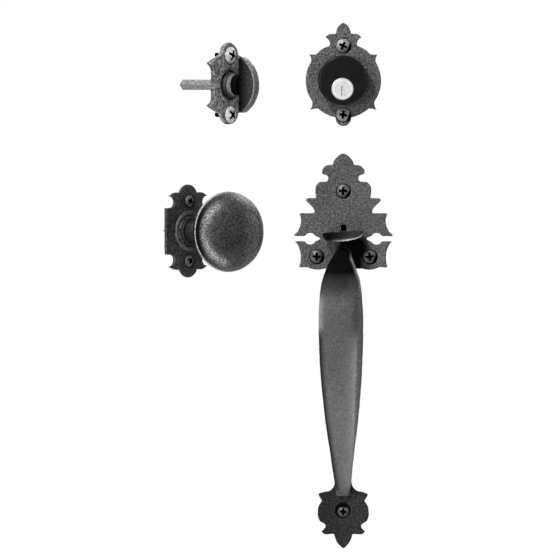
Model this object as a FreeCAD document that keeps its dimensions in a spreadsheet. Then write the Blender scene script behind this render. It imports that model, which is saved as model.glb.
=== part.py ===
import FreeCAD, Part
import os
import Sketcher
from FreeCAD import Placement, Rotation, Vector

# Entry door handleset in rough black iron, in millimetres.
# x runs to the right and z up across the door, y runs into the door and the trim stands towards -y.
# The origin lies on the door's face at the thumb slot of the handle.

os.makedirs("parts", exist_ok=True)

doc = FreeCAD.newDocument("handleset")

# Driving dimensions
SIZES = {
    # handle plates
    "plate_thick": 3.6,
    "top_rise": 74.5,
    "top_half": 44.4,
    "slit_middle": -2.75,
    "slit_half": 2.25,
    "slit_hole_from_axis": 29.9,
    "slit_hole_radius": 5.2,
    "slit_depth": 20.3,
    "top_foot": -28.8,
    "low_root": -216.0,
    "low_tip": -281.8,
    "low_half": 22.9,
    "slot_half": 2.9,
    "slot_top": 10.2,
    "slot_foot": -3.9,
    # grip
    "grip_root_z": -17.0,
    "grip_reach": 45.0,
    "grip_wide": 40.3,
    "grip_deep": 10.5,
    "grip_wide_z": -78.0,
    "grip_end_z": -234.0,
    "grip_end_wide": 11.4,
    "grip_end_deep": 4.6,
    # thumb lever and its pin
    "pin_y": 6.0,
    "pin_z": 2.7,
    "pin_radius": 1.6,
    "ear_inside": 3.1,
    "ear_thick": 3.2,
    "ear_half": 5.0,
    "blade_half": 2.7,
    "blade_rise": 4.0,
    "blade_tail": 38.0,
    "heel_drop": 9.0,
    "blade_hump": 9.0,
    "pad_half": 17.9,
    "pad_back": 10.6,
    "pad_front": 34.0,
    "pad_thick": 3.4,
    "pad_dish": 1.5,
    "pad_dish_radius": 62.0,
    "pad_roll": 4.0,
    "droop": 14.0,
    # screws
    "shank_radius": 2.4,
    "screw_length": 32.0,
    "screw_point": 6.0,
    "handle_head": 5.9,
    "foot_head": 5.0,
    "foot_seat": 2.0,
    "foot_recess": 7.2,
    "head_rise": 2.6,
    "cross_half": 0.6,
    "cross_reach": 3.0,
    "cross_deep": 1.9,
    "screw_top_z": 40.3,
    "screw_pair_x": 23.9,
    "screw_pair_z": -18.8,
    "screw_foot_z": -248.4,
    # deadbolt unit
    "bolt_above": 139.7,
    "bolt_disc": 33.9,
    "bolt_apex": 51.8,
    "bolt_tip": 41.2,
    "bolt_screw_z": 31.0,
    "bolt_head": 6.3,
    "collar_radius": 22.3,
    "collar_reach": 17.6,
    "collar_round": 2.4,
    "collar_wall": 3.5,
    "drum_radius": 17.9,
    "spigot_wall": 0.7,
    "spigot_end": 3.0,
    "drum_end": 14.0,
    "nose_drop": 7.8,
    "nose_radius": 9.9,
    "nose_proud": 0.9,
    "nose_bevel": 1.2,
    "plug_radius": 6.35,
    "plug_stub": 4.6,
    "plug_stub_long": 3.4,
    "key_half": 0.95,
    "key_top": 2.6,
    "key_deep": 26.0,
    "cap_radius": 7.6,
    "cap_wall": 1.6,
    "tail_half_thick": 0.8,
    "tail_half_wide": 3.5,
    "tail_length": 52.0,
    # turn unit
    "turn_x": -105.3,
    "turn_z": 135.5,
    "turn_facing": 55.0,
    "turn_thick": 4.3,
    "turn_apex": 38.0,
    "turn_tip": 35.4,
    "turn_half": 29.0,
    "turn_waist": 23.1,
    "turn_bore": 12.8,
    "turn_screw_z": 26.8,
    "turn_head": 7.6,
    "turn_head_rise": 5.0,
    "turn_cross_reach": 4.0,
    "turn_screw_length": 13.5,
    "turn_ring_radius": 11.0,
    "turn_ring_proud": 2.5,
    "turn_flange_radius": 15.5,
    "turn_flange_thick": 1.6,
    "turn_shank": 6.5,
    "turn_hub": 9.7,
    "turn_inner": 16.5,
    "turn_outer": 35.0,
    "turn_half_tall": 24.9,
    "turn_thumb_thick": 7.6,
    "turn_bar_corner": 4.67,
    "turn_bar_end": 51.0,
    "turn_bar_front": 14.0,
    "turn_pin_y": 11.4,
    "turn_pin_radius": 1.2,
    # knob unit
    "knob_x": -141.5,
    "knob_z": 4.0,
    "knob_facing": 49.0,
    "rose_thick": 3.3,
    "rose_apex": 41.9,
    "rose_half": 28.5,
    "rose_body": 21.0,
    "rose_leaf": 24.3,
    "rose_screw_z": 27.0,
    "rose_head": 5.3,
    "rose_screw_length": 20.0,
    "band_outer": 17.8,
    "band_inner": 14.0,
    "band_rise": 1.2,
    "rose_bore": 11.5,
    "base_radius": 13.0,
    "base_proud": 5.5,
    "knob_shank": 7.5,
    "knob_shank_end": 6.0,
    "knob_neck": 10.5,
    "knob_neck_end": 24.5,
    "knob_rim": 36.2,
    "knob_rim_reach": 53.0,
    "knob_dome": 26.4,
    "washer_radius": 12.6,
    "washer_thick": 1.2,
    "knob_bar_corner": 5.66,
    "knob_bar_end": 24.0,
    "knob_bar_front": 20.0,
    "set_screw_y": 15.1,
    "set_screw_radius": 2.0,
    "set_screw_hex": 1.1,
    # clips and clearances
    "clip_thick": 0.9,
    "clip_reach": 2.6,
    "clip_bite": 1.0,
    "running": 0.08,
    "seat_gap": 0.15,
    "fit": 0.03,
}

sheet = doc.addObject("Spreadsheet::Sheet", "Sheet")
for row, (name, value) in enumerate(SIZES.items(), 1):
    sheet.set("A%d" % row, name)
    sheet.set("B%d" % row, str(value))
    sheet.setAlias("B%d" % row, name)
doc.recompute()


# Sums of named sizes, such as "plate_thick + 1.5", read as numbers and as sheet expressions
def words(text):
    return text.replace("+", " + ").replace("-", " - ").split()


def amount(text):
    # the value of a sum in which a name may be multiplied by a share of it
    total = 0.0
    last = 0.0
    step = "+"
    for word in words(text):
        if word in ("+", "-", "*"):
            step = word
            continue
        value = SIZES[word] if word in SIZES else float(word)
        if step == "*":
            value = last * (value - 1)
        elif step == "-":
            value = -value
        total += value
        last = value
        step = "+"
    return total


def formula(text):
    return " ".join("Sheet." + word if word in SIZES else word for word in words(text))


def minus(text):
    flipped = {"+": "-", "-": "+"}
    turned = [flipped.get(word, word) for word in words(text)]
    if turned[0] in flipped:
        return " ".join(turned)
    return "- " + " ".join(turned)


# Bodies, sketches and features
def new_body(label, placement=None):
    body = doc.addObject("PartDesign::Body", label)
    body.Label = label
    body.Placement = placement or Placement()
    return body


def plane(body, role):
    return [part for part in body.Origin.OriginFeatures if part.Role == role][0]


def new_sketch(body, role, name, shift=None):
    sketch = body.newObject("Sketcher::SketchObject", name)
    sketch.AttachmentSupport = [(plane(body, role), "")]
    sketch.MapMode = "FlatFace"
    for axis, text in (shift or {}).items():
        sketch.setExpression(".AttachmentOffset.Base." + axis, formula(text))
    return sketch


def tie(sketch, limits, geo, pos, texts):
    # holds one corner at its two sums of sheet names
    for kind, axis, text in (("DistanceX", -2, texts[0]), ("DistanceY", -1, texts[1])):
        if words(text) in (["0"], ["-", "0"]):
            limits.append((Sketcher.Constraint("PointOnObject", geo, pos, axis), None))
        else:
            limits.append((Sketcher.Constraint(kind, -1, 1, geo, pos, amount(text)), formula(text)))


def draw(sketch, start, moves, domed=False):
    # a closed outline: each move is a corner (u, v), or (u, v, via u, via v) where an arc leads there
    # domed keeps the centre of an arc that starts or ends on the axis on that axis
    limits = []
    here = start
    ends = []
    for move in list(moves) + [start] * (moves[-1][:2] != start[:2]):
        p = Vector(amount(here[0]), amount(here[1]), 0)
        q = Vector(amount(move[0]), amount(move[1]), 0)
        if len(move) == 2:
            geo = sketch.addGeometry(Part.LineSegment(p, q), False)
            ends.append((geo, 1, 2))
        else:
            m = Vector(amount(move[2]), amount(move[3]), 0)
            left_turn = (m - p).cross(q - m).z > 0
            arc = Part.Arc(p, m, q) if left_turn else Part.Arc(q, m, p)
            geo = sketch.addGeometry(arc, False)
            ends.append((geo, 1, 2) if left_turn else (geo, 2, 1))
            if domed and "0" in (here[1], move[1]):
                limits.append((Sketcher.Constraint("PointOnObject", geo, 3, -1), None))
        tie(sketch, limits, geo, ends[-1][1], here)
        here = move
    for (geo, first, last), (following, start_pos, end_pos) in zip(ends, ends[1:] + ends[:1]):
        limits.append((Sketcher.Constraint("Coincident", geo, last, following, start_pos), None))
    numbers = sketch.addConstraint([limit for limit, text in limits])
    for number, (limit, text) in zip(numbers, limits):
        if text:
            sketch.setExpression("Constraints[%d]" % number, text)
    return sketch


def circle(sketch, u, v, radius):
    centre = Vector(amount(u), amount(v), 0)
    geo = sketch.addGeometry(Part.Circle(centre, Vector(0, 0, 1), amount(radius)), False)
    limits = []
    tie(sketch, limits, geo, 3, (u, v))
    limits.append((Sketcher.Constraint("Radius", geo, amount(radius)), formula(radius)))
    numbers = sketch.addConstraint([limit for limit, text in limits])
    for number, (limit, text) in zip(numbers, limits):
        if text:
            sketch.setExpression("Constraints[%d]" % number, text)
    return sketch


def box(sketch, left, low, right, high):
    return draw(sketch, (left, low), [(right, low), (right, high), (left, high)])


def both_sides(half):
    # the right side from the top down, then the left side back up
    start = half[0][:2]
    left = []
    for here, following in zip(reversed(half[:-1]), reversed(half[1:])):
        corner = (minus(here[0]), here[1])
        if len(following) == 4:
            corner += (minus(following[2]), following[3])
        left.append(corner)
    left[-1] = start + left[-1][2:]
    return start, half[1:] + left


def pad(body, sketch, length, behind=None, midplane=False):
    # on the XZ plane a pad grows towards -y, the room side of the trim
    feature = body.newObject("PartDesign::Pad", sketch.Name + "_pad")
    feature.Profile = sketch
    if midplane:
        feature.SideType = "Symmetric"
    feature.setExpression("Length", formula(length))
    if behind:
        feature.SideType = "Two sides"
        feature.setExpression("Length2", formula(behind))
    return feature


def pocket(body, sketch, length=None, behind=None, midplane=False):
    # without lengths the cut goes right through both ways
    feature = body.newObject("PartDesign::Pocket", sketch.Name + "_cut")
    feature.Profile = sketch
    if length is None:
        feature.Type = "ThroughAll"
        feature.SideType = "Symmetric"
        return feature
    if midplane:
        feature.SideType = "Symmetric"
    feature.setExpression("Length", formula(length))
    if behind:
        feature.SideType = "Two sides"
        feature.setExpression("Length2", formula(behind))
    return feature


def turned(body, name, start, moves):
    # a profile of (y, radius) corners swung round the body's own y axis
    sketch = new_sketch(body, "YZ_Plane", name)
    draw(sketch, start, moves, domed=True)
    feature = body.newObject("PartDesign::Revolution", name + "_turn")
    feature.Profile = sketch
    feature.ReferenceAxis = (sketch, ["H_Axis"])
    feature.Angle = 360
    return feature


def placed(x="0", y="0", z="0", swing=0.0):
    return Placement(Vector(amount(x), amount(y), amount(z)), Rotation(Vector(0, 0, 1), swing))


# Screws: an oval head whose neck tapers to the shank through the whole seat it sits on
# each kind holds the seat's height over the door, the head's radius and rise, the length and the cross's reach
HANDLE_SCREW = ("plate_thick", "handle_head", "head_rise", "screw_length", "cross_reach")
FOOT_SCREW = ("foot_seat", "foot_head", "head_rise", "screw_length", "cross_reach")
BOLT_SCREW = ("plate_thick", "bolt_head", "head_rise", "screw_length", "cross_reach")
TURN_SCREW = ("turn_thick", "turn_head", "turn_head_rise", "turn_screw_length", "turn_cross_reach")
ROSE_SCREW = ("rose_thick", "rose_head", "head_rise", "rose_screw_length", "cross_reach")


def screw(name, place, x, z, kind, clock):
    seat, head, rise, length, reach = kind
    body = new_body(name, place * placed(x, minus(seat), z))
    turned(
        body,
        name + "_profile",
        (minus(rise), "0"),
        [
            ("0", head, minus(rise) + " + 0.9", head + " - 1.3"),
            ("0", head + " - 0.6"),
            (seat, "shank_radius"),
            (seat + " + " + length + " - screw_point", "shank_radius"),
            (seat + " + " + length, "0.3"),
            (seat + " + " + length, "0"),
        ],
    )
    cross = new_sketch(body, "XZ_Plane", name + "_cross", {"z": rise})
    draw(
        cross,
        ("cross_half", reach),
        [
            ("cross_half", "cross_half"),
            (reach, "cross_half"),
            (reach, "- cross_half"),
            ("cross_half", "- cross_half"),
            ("cross_half", minus(reach)),
            ("- cross_half", minus(reach)),
            ("- cross_half", "- cross_half"),
            (minus(reach), "- cross_half"),
            (minus(reach), "cross_half"),
            ("- cross_half", "cross_half"),
            ("- cross_half", reach),
        ],
    )
    pocket(body, cross, rise + " - head_rise + cross_deep")
    body.Placement = body.Placement * Placement(Vector(), Rotation(Vector(0, 1, 0), clock))
    return body


def cone_cut(body, name, x, z, front, back, front_radius, back_radius):
    # a round tapered cut between two heights over the door
    cone = body.newObject("PartDesign::SubtractiveCone", name)
    cone.AttachmentSupport = [(plane(body, "XZ_Plane"), "")]
    cone.MapMode = "FlatFace"
    cone.setExpression(".AttachmentOffset.Base.x", formula(x))
    cone.setExpression(".AttachmentOffset.Base.y", formula(z))
    cone.setExpression(".AttachmentOffset.Base.z", formula(back))
    cone.setExpression("Height", formula(front + " - " + back))
    cone.setExpression("Radius1", formula(back_radius))
    cone.setExpression("Radius2", formula(front_radius))
    return cone


def screw_hole(body, name, x, z, kind):
    # the clearance hole and the taper that the screw's neck fits
    seat, head = kind[:2]
    hole = new_sketch(body, "XZ_Plane", name)
    circle(hole, x, z, "shank_radius + running")
    pocket(body, hole)
    return cone_cut(body, name + "_sink", x, z, seat, "0", head + " - 0.6 + running", "shank_radius + running")


def group(label, bodies):
    compound = doc.addObject("Part::Compound", label)
    compound.Label = label
    compound.Links = bodies
    return compound


def round_hole(body, name, radius, x="0", z="0"):
    hole = new_sketch(body, "XZ_Plane", name)
    circle(hole, x, z, radius)
    return pocket(body, hole)


def square_cut(body, name, corner, start_y, length):
    # a square socket standing on one corner, from start_y towards +y
    sketch = new_sketch(body, "XZ_Plane", name, {"z": minus(start_y)})
    diamond(sketch, corner)
    return pocket(body, sketch, length)


def diamond(sketch, corner):
    draw(sketch, (corner, "0"), [("0", corner), (minus(corner), "0"), ("0", minus(corner))])
    return sketch


def square_bar(label, place, corner, front, end):
    body = new_body(label, place)
    sketch = diamond(new_sketch(body, "XZ_Plane", label + "_square"), corner)
    pad(body, sketch, front, behind=end)
    return body


def clip(label, place, start_y, inside):
    # an open retaining ring that snaps into a groove
    body = new_body(label, place)
    sketch = new_sketch(body, "XZ_Plane", label + "_ring", {"z": minus(start_y + " + clip_thick")})
    circle(sketch, "0", "0", inside + " + clip_reach")
    circle(sketch, "0", "0", inside + " + fit")
    pad(body, sketch, "clip_thick")
    mouth = new_sketch(body, "XZ_Plane", label + "_mouth")
    box(mouth, "- 1.6", "0", "1.6", inside + " + clip_reach + 1")
    pocket(body, mouth)
    return body


# Handle: two plates and the grip between them, cast in one
def crown(share):
    # a height on the top plate above its slit, as a share of the crown's rise
    return "slit_middle + slit_half + top_rise * " + share


def grip_handle():
    body = new_body("grip_handle")
    top = new_sketch(body, "XZ_Plane", "top_plate")
    draw(
        top,
        *both_sides(
            [
                ("0", crown("1")),
                ("9.7", crown("0.8577"), "6.4", crown("0.9463")),
                ("19.1", crown("0.7919"), "15.8", crown("0.847")),
                ("16.4", crown("0.7396"), "18.9", crown("0.7584")),
                ("13.5", crown("0.7101"), "14.4", crown("0.7302")),
                ("15.5", crown("0.6577"), "13.6", crown("0.6819")),
                ("20.6", crown("0.6577")),
                ("25.1", crown("0.5584"), "24", crown("0.6188")),
                ("23.9", crown("0.4604"), "25", crown("0.506")),
                ("31", crown("0.4604")),
                ("33.8", crown("0.4295"), "33.1", crown("0.4523")),
                ("28.6", crown("0.3611")),
                ("26", crown("0.2792"), "26.4", crown("0.3208")),
                ("38.6", crown("0.2792")),
                ("39.6", crown("0.2658"), "39.4", crown("0.2765")),
                ("40.1", crown("0.0859"), "38.1", crown("0.1812")),
                ("top_half", crown("0.0228"), "41.9", crown("0.047")),
                ("top_half", "slit_middle + slit_half"),
                ("slit_hole_from_axis + 4.69", "slit_middle + slit_half"),
                (
                    "slit_hole_from_axis - 4.69",
                    "slit_middle + slit_half",
                    "slit_hole_from_axis",
                    "slit_middle + slit_hole_radius",
                ),
                ("slit_depth", "slit_middle", "slit_depth + 2.6", "slit_middle + 1.4"),
                (
                    "slit_hole_from_axis - 4.69",
                    "slit_middle - slit_half",
                    "slit_depth + 2.6",
                    "slit_middle - 1.4",
                ),
                (
                    "slit_hole_from_axis + 4.69",
                    "slit_middle - slit_half",
                    "slit_hole_from_axis",
                    "slit_middle - slit_hole_radius",
                ),
                ("top_half", "slit_middle - slit_half"),
                ("40.9", "top_foot + 20.2", "42.4", "top_foot + 22.1"),
                ("40.2", "top_foot", "38.3", "top_foot + 9.4"),
                ("32.7", "top_foot + 0.5"),
                ("17", "top_foot - 0.7", "24", "top_foot - 1.9"),
                ("0", "top_foot - 1.6"),
            ]
        ),
    )
    pad(body, top, "plate_thick")
    low = new_sketch(body, "XZ_Plane", "low_plate")
    draw(
        low,
        *both_sides(
            [
                ("0", "low_root"),
                ("7.6", "low_root - 7", "6.3", "low_root - 2.4"),
                ("13.2", "low_tip + 51.8", "8.6", "low_tip + 56"),
                ("22.3", "low_tip + 49.4", "17.8", "low_tip + 51"),
                ("18.8", "low_tip + 43", "20.9", "low_tip + 46"),
                ("low_half", "low_tip + 33.9", "22", "low_tip + 38.8"),
                ("20.4", "low_tip + 24", "22.7", "low_tip + 28.4"),
                ("15.8", "low_tip + 20.6", "17.4", "low_tip + 22.6"),
                ("19.9", "low_tip + 16.1", "17.5", "low_tip + 17.7"),
                ("14.3", "low_tip + 12.9", "17.8", "low_tip + 13.5"),
                ("8.2", "low_tip + 13.4"),
                ("0", "low_tip", "5.4", "low_tip + 5.6"),
            ]
        ),
    )
    pad(body, low, "plate_thick")
    for side, start in (("right", "ear_inside"), ("left", "- ear_inside - ear_thick")):
        ear = new_sketch(body, "YZ_Plane", "ear_" + side, {"z": start})
        draw(
            ear,
            ("- 0.5", "pin_z - ear_half"),
            [
                ("pin_y", "pin_z - ear_half"),
                ("pin_y", "pin_z + ear_half", "pin_y + ear_half", "pin_z"),
                ("- 0.5", "pin_z + ear_half"),
            ],
        )
        pad(body, ear, "ear_thick")
    grip(body)
    slot = new_sketch(body, "XZ_Plane", "thumb_slot")
    draw(
        slot,
        ("- slot_half", "slot_foot"),
        [
            ("slot_half", "slot_foot"),
            ("slot_half", "slot_top - slot_half"),
            ("- slot_half", "slot_top - slot_half", "0", "slot_top"),
        ],
    )
    pocket(body, slot, "1", behind="plate_thick + 1")
    pin_hole = new_sketch(body, "YZ_Plane", "pin_hole")
    circle(pin_hole, "pin_y", "pin_z", "pin_radius")
    pocket(body, pin_hole, "ear_inside + ear_thick + ear_inside + ear_thick + 2", midplane=True)
    screw_hole(body, "hole_top", "0", "screw_top_z", HANDLE_SCREW)
    screw_hole(body, "hole_right", "screw_pair_x", "screw_pair_z", HANDLE_SCREW)
    screw_hole(body, "hole_left", "- screw_pair_x", "screw_pair_z", HANDLE_SCREW)
    screw_hole(body, "hole_foot", "0", "screw_foot_z", FOOT_SCREW)
    rim = "foot_head + 0.6"
    cone_cut(body, "foot_recess", "0", "screw_foot_z", "plate_thick", "foot_seat", "foot_recess", rim)
    return body


# Grip: sections from the root on the upper plate, out over the arch and down to the foot
def grip_outline(sketch, w, d):
    # a strap's section of half width w and half depth d: crowned front, rounded sides, flatter back
    front = w - 0.3 * d
    back = 0.93 * front
    corners = [(-front, -0.62 * d), (front, -0.62 * d), (back, 0.62 * d), (-back, 0.62 * d)]
    through = [(0, -d), (w, -0.02 * d), (0, d), (-w, -0.02 * d)]
    moves = []
    for corner, via in zip(corners[1:] + corners[:1], through):
        moves.append(tuple("%.3f" % value for value in corner + via))
    return draw(sketch, tuple("%.3f" % value for value in corners[0]), moves)


def grip(body):
    sections = [
        # y, z, lean in degrees, width, depth
        ("- plate_thick + 0.6", "grip_root_z", -90, "21", "17.5"),
        ("- plate_thick - 3.6", "grip_root_z", -90, "15.4", "13.4"),
        ("- plate_thick - 10.5", "grip_root_z - 0.4", -86, "14.8", "grip_deep + 1.6"),
        ("- grip_reach + 21", "grip_root_z - 3", -68, "18.2", "grip_deep + 1"),
        ("- grip_reach + 10.6", "grip_root_z - 10", -46, "25", "grip_deep + 0.6"),
        ("- grip_reach + 3", "grip_root_z - 23", -19, "grip_wide - 6", "grip_deep + 0.2"),
        ("- grip_reach", "grip_root_z - 40", -3, "grip_wide - 1.6", "grip_deep"),
        ("- grip_reach + 0.3", "grip_wide_z", 3, "grip_wide", "grip_deep"),
        ("- grip_reach + 4.6", "grip_wide_z - 40", 9, "grip_wide - 2.4", "grip_deep"),
        ("- grip_reach + 13.5", "grip_wide_z - 80", 14, "grip_wide - 9", "grip_deep - 0.4"),
        ("- grip_reach + 25", "grip_wide_z - 120", 17.5, "21", "grip_deep - 1.6"),
        ("- plate_thick - 5.6", "grip_end_z + 11", 18, "14.8", "grip_deep - 4"),
        ("- plate_thick - 1.9", "grip_end_z", 13, "grip_end_wide", "grip_end_deep"),
    ]
    sketches = []
    for number, (y, z, lean, wide, deep) in enumerate(sections, 1):
        name = "grip_section_%d" % number
        sketch = body.newObject("Sketcher::SketchObject", name)
        sketch.AttachmentSupport = [(plane(body, "XY_Plane"), "")]
        sketch.MapMode = "FlatFace"
        centre = Vector(0, amount(y), amount(z))
        sketch.AttachmentOffset = Placement(centre, Rotation(Vector(1, 0, 0), lean))
        sketch.setExpression(".AttachmentOffset.Base.y", formula(y))
        sketch.setExpression(".AttachmentOffset.Base.z", formula(z))
        grip_outline(sketch, amount(wide) / 2, amount(deep) / 2)
        sketches.append(sketch)
    loft = body.newObject("PartDesign::AdditiveLoft", "grip_loft")
    loft.Profile = sketches[0]
    loft.Sections = sketches[1:]
    loft.Ruled = False
    return loft


# Thumb lever: pad, blade through the slot and tail, drooping on the foot of the slot
def thumb_lever():
    pin = Vector(0, amount("pin_y"), amount("pin_z"))
    body = new_body("thumb_lever", Placement(pin, Rotation(Vector(1, 0, 0), SIZES["droop"])))
    blade = new_sketch(body, "YZ_Plane", "blade")
    draw(
        blade,
        ("- pad_back - 12", "blade_rise - pad_thick + 0.6"),
        [
            ("- pad_back - 1", "- blade_rise", "- pad_back - 8", "- blade_rise + 2.6"),
            ("- pin_y + 0.9", "- blade_rise"),
            ("- pin_y + 0.9", "- heel_drop"),
            ("1", "- heel_drop"),
            ("6", "- blade_rise", "4.2", "- heel_drop + 1.4"),
            ("blade_tail", "1.5", "blade_tail - 15", "- 2.2"),
            ("blade_tail", "5.5", "blade_tail + 2", "3.5"),
            ("4", "blade_rise", "blade_tail - 16", "blade_rise - 1"),
            ("- 1.2", "blade_hump - 1.5"),
            ("- 7", "blade_hump"),
            ("- 7.7", "blade_rise"),
            ("- pad_back - 12", "blade_rise"),
        ],
    )
    pad(body, blade, "blade_half + blade_half", midplane=True)
    plate = new_sketch(body, "XY_Plane", "pad")
    plate.AttachmentOffset = Placement(
        Vector(0, 0, amount("blade_rise - pad_thick")), Rotation(Vector(0, 1, 0), -SIZES["pad_roll"])
    )
    plate.setExpression(".AttachmentOffset.Base.z", formula("blade_rise - pad_thick"))
    draw(
        plate,
        *both_sides(
            [
                ("0", "- pad_back"),
                ("pad_half - 3", "- pad_back"),
                ("pad_half", "- pad_back - 3", "pad_half - 0.9", "- pad_back - 0.9"),
                ("pad_half", "- pad_front + pad_half"),
                ("0", "- pad_front", "pad_half - 5.24", "- pad_front + 5.24"),
            ]
        ),
    )
    pad(body, plate, "pad_thick")
    dish = body.newObject("PartDesign::SubtractiveSphere", "pad_dish")
    dish.AttachmentSupport = [(plane(body, "XY_Plane"), "")]
    dish.MapMode = "FlatFace"
    dish.setExpression(".AttachmentOffset.Base.y", formula("- pad_back - 12.4"))
    dish.setExpression(".AttachmentOffset.Base.z", formula("blade_rise - pad_dish + pad_dish_radius"))
    dish.setExpression("Radius", formula("pad_dish_radius"))
    bore = new_sketch(body, "YZ_Plane", "lever_bore")
    circle(bore, "0", "0", "pin_radius + running")
    pocket(body, bore, "blade_half + blade_half + 2", midplane=True)
    return body


def thumb_pivot_pin():
    body = new_body("thumb_pivot_pin", placed("0", "pin_y", "pin_z"))
    sketch = new_sketch(body, "YZ_Plane", "pin_round")
    circle(sketch, "0", "0", "pin_radius")
    pad(body, sketch, "ear_inside + ear_thick + ear_inside + ear_thick + 0.8", midplane=True)
    return body


def handle_screws():
    here = placed()
    return group(
        "handle_screws",
        [
            screw("handle_screw_top", here, "0", "screw_top_z", HANDLE_SCREW, 24),
            screw("handle_screw_right", here, "screw_pair_x", "screw_pair_z", HANDLE_SCREW, 8),
            screw("handle_screw_left", here, "- screw_pair_x", "screw_pair_z", HANDLE_SCREW, 40),
            screw("handle_screw_foot", here, "0", "screw_foot_z", FOOT_SCREW, 12),
        ],
    )


# Deadbolt: plate, collar, key cylinder and tailpiece
def bolt_place():
    return placed("0", "0", "bolt_above")


def plug_place():
    return placed("0", "0", "bolt_above - nose_drop")


def deadbolt_plate():
    body = new_body("deadbolt_plate", bolt_place())
    outline = new_sketch(body, "XZ_Plane", "bolt_outline")
    draw(
        outline,
        *both_sides(
            [
                ("0", "bolt_apex"),
                ("6.6", "bolt_apex - 9.7", "4.7", "bolt_apex - 3.6"),
                ("11.4", "bolt_apex - 10.1"),
                ("16.2", "bolt_apex - 13.5", "14.2", "bolt_apex - 11.2"),
                ("12.6", "bolt_apex - 17", "14", "bolt_apex - 14.8"),
                ("13", "30.6", "12.1", "32.6"),
                ("24.2", "23.3", "19.3", "27.8"),
                ("30.9", "23.2"),
                ("28.9", "16.7", "29.2", "20"),
                ("28", "- 19", "bolt_disc", "- 1.4"),
                ("30.4", "- 27.2", "28.4", "- 23.3"),
                ("22.6", "- 25.6", "26.4", "- 25.8"),
                ("6.9", "- bolt_tip + 7.7", "15.2", "- 30.6"),
                ("0", "- bolt_tip", "5.2", "- bolt_tip + 2.3"),
            ]
        ),
    )
    pad(body, outline, "plate_thick")
    round_hole(body, "bolt_bore", "drum_radius + spigot_wall + fit")
    screw_hole(body, "bolt_hole_top", "0", "bolt_screw_z", BOLT_SCREW)
    screw_hole(body, "bolt_hole_low", "0", "- bolt_screw_z", BOLT_SCREW)
    return body


def cylinder_collar():
    body = new_body("cylinder_collar", bolt_place())
    turned(
        body,
        "collar_profile",
        ("- collar_reach", "0"),
        [
            ("- collar_reach", "collar_radius - collar_round"),
            (
                "- collar_reach + collar_round",
                "collar_radius",
                "- collar_reach + 0.7",
                "collar_radius - 0.7",
            ),
            ("- plate_thick", "collar_radius"),
            ("- plate_thick", "drum_radius + spigot_wall"),
            ("spigot_end", "drum_radius + spigot_wall"),
            ("spigot_end", "drum_radius"),
            ("- collar_reach + collar_wall", "drum_radius"),
            ("- collar_reach + collar_wall", "0"),
        ],
    )
    round_hole(body, "nose_hole", "nose_radius + fit", "0", "- nose_drop")
    return body


def cylinder_body():
    body = new_body("cylinder_body", bolt_place())
    turned(
        body,
        "drum_profile",
        ("- collar_reach + collar_wall", "0"),
        [
            ("- collar_reach + collar_wall", "drum_radius - fit"),
            ("drum_end", "drum_radius - fit"),
            ("drum_end", "0"),
        ],
    )
    nose = new_sketch(body, "XZ_Plane", "nose")
    circle(nose, "0", "- nose_drop", "nose_radius")
    front = pad(body, nose, "collar_reach + nose_proud")
    doc.recompute()
    bevel = body.newObject("PartDesign::Chamfer", "nose_bevel_edge")
    bevel.Base = (front, rim_edges(front.Shape, -amount("collar_reach + nose_proud")))
    bevel.setExpression("Size", formula("nose_bevel"))
    round_hole(body, "plug_bore", "plug_radius + running", "0", "- nose_drop")
    return body


def rim_edges(shape, y):
    # the edges that lie in the plane across y
    found = []
    for number, edge in enumerate(shape.Edges, 1):
        limits = edge.BoundBox
        if abs(limits.YMin - y) < 1e-6 and abs(limits.YMax - y) < 1e-6:
            found.append("Edge%d" % number)
    return found


def key_plug():
    body = new_body("key_plug", plug_place())
    turned(
        body,
        "plug_profile",
        ("- collar_reach - nose_proud", "0"),
        [
            ("- collar_reach - nose_proud", "plug_radius"),
            ("drum_end + seat_gap", "plug_radius"),
            ("drum_end + seat_gap", "plug_stub"),
            ("drum_end + seat_gap + plug_stub_long", "plug_stub"),
            ("drum_end + seat_gap + plug_stub_long", "0"),
        ],
    )
    keyway = new_sketch(body, "XZ_Plane", "keyway", {"z": "collar_reach + nose_proud"})
    draw(
        keyway,
        ("- key_half", "- plug_radius - 1"),
        [
            ("key_half", "- plug_radius - 1"),
            ("key_half", "- 3.6"),
            ("key_half + 0.7", "- 3.6"),
            ("key_half + 0.7", "- 1.9"),
            ("key_half", "- 1.9"),
            ("key_half", "key_top - key_half"),
            ("- key_half", "key_top - key_half", "0", "key_top"),
            ("- key_half", "- 0.4"),
            ("- key_half - 0.6", "- 0.4"),
            ("- key_half - 0.6", "- 1.7"),
            ("- key_half", "- 1.7"),
        ],
    )
    pocket(body, keyway, "key_deep")
    seat = new_sketch(body, "XZ_Plane", "tail_slot", {"z": "- drum_end - seat_gap"})
    box(seat, "- tail_half_thick - fit", "- plug_radius", "tail_half_thick + fit", "plug_radius")
    pocket(body, seat, "plug_stub_long + 1")
    return body


def plug_cap():
    body = new_body("plug_cap", plug_place())
    turned(
        body,
        "cap_profile",
        ("drum_end + seat_gap + seat_gap", "plug_stub + fit"),
        [
            ("drum_end + seat_gap + seat_gap", "cap_radius"),
            ("drum_end + seat_gap + plug_stub_long + cap_wall", "cap_radius"),
            ("drum_end + seat_gap + plug_stub_long + cap_wall", "0"),
            ("drum_end + seat_gap + plug_stub_long", "0"),
            ("drum_end + seat_gap + plug_stub_long", "plug_stub + fit"),
        ],
    )
    slot = new_sketch(body, "XZ_Plane", "cap_slot")
    across = "tail_half_thick + fit"
    along = "tail_half_wide + fit"
    box(slot, minus(across), minus(along), across, along)
    pocket(body, slot)
    return body


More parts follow.
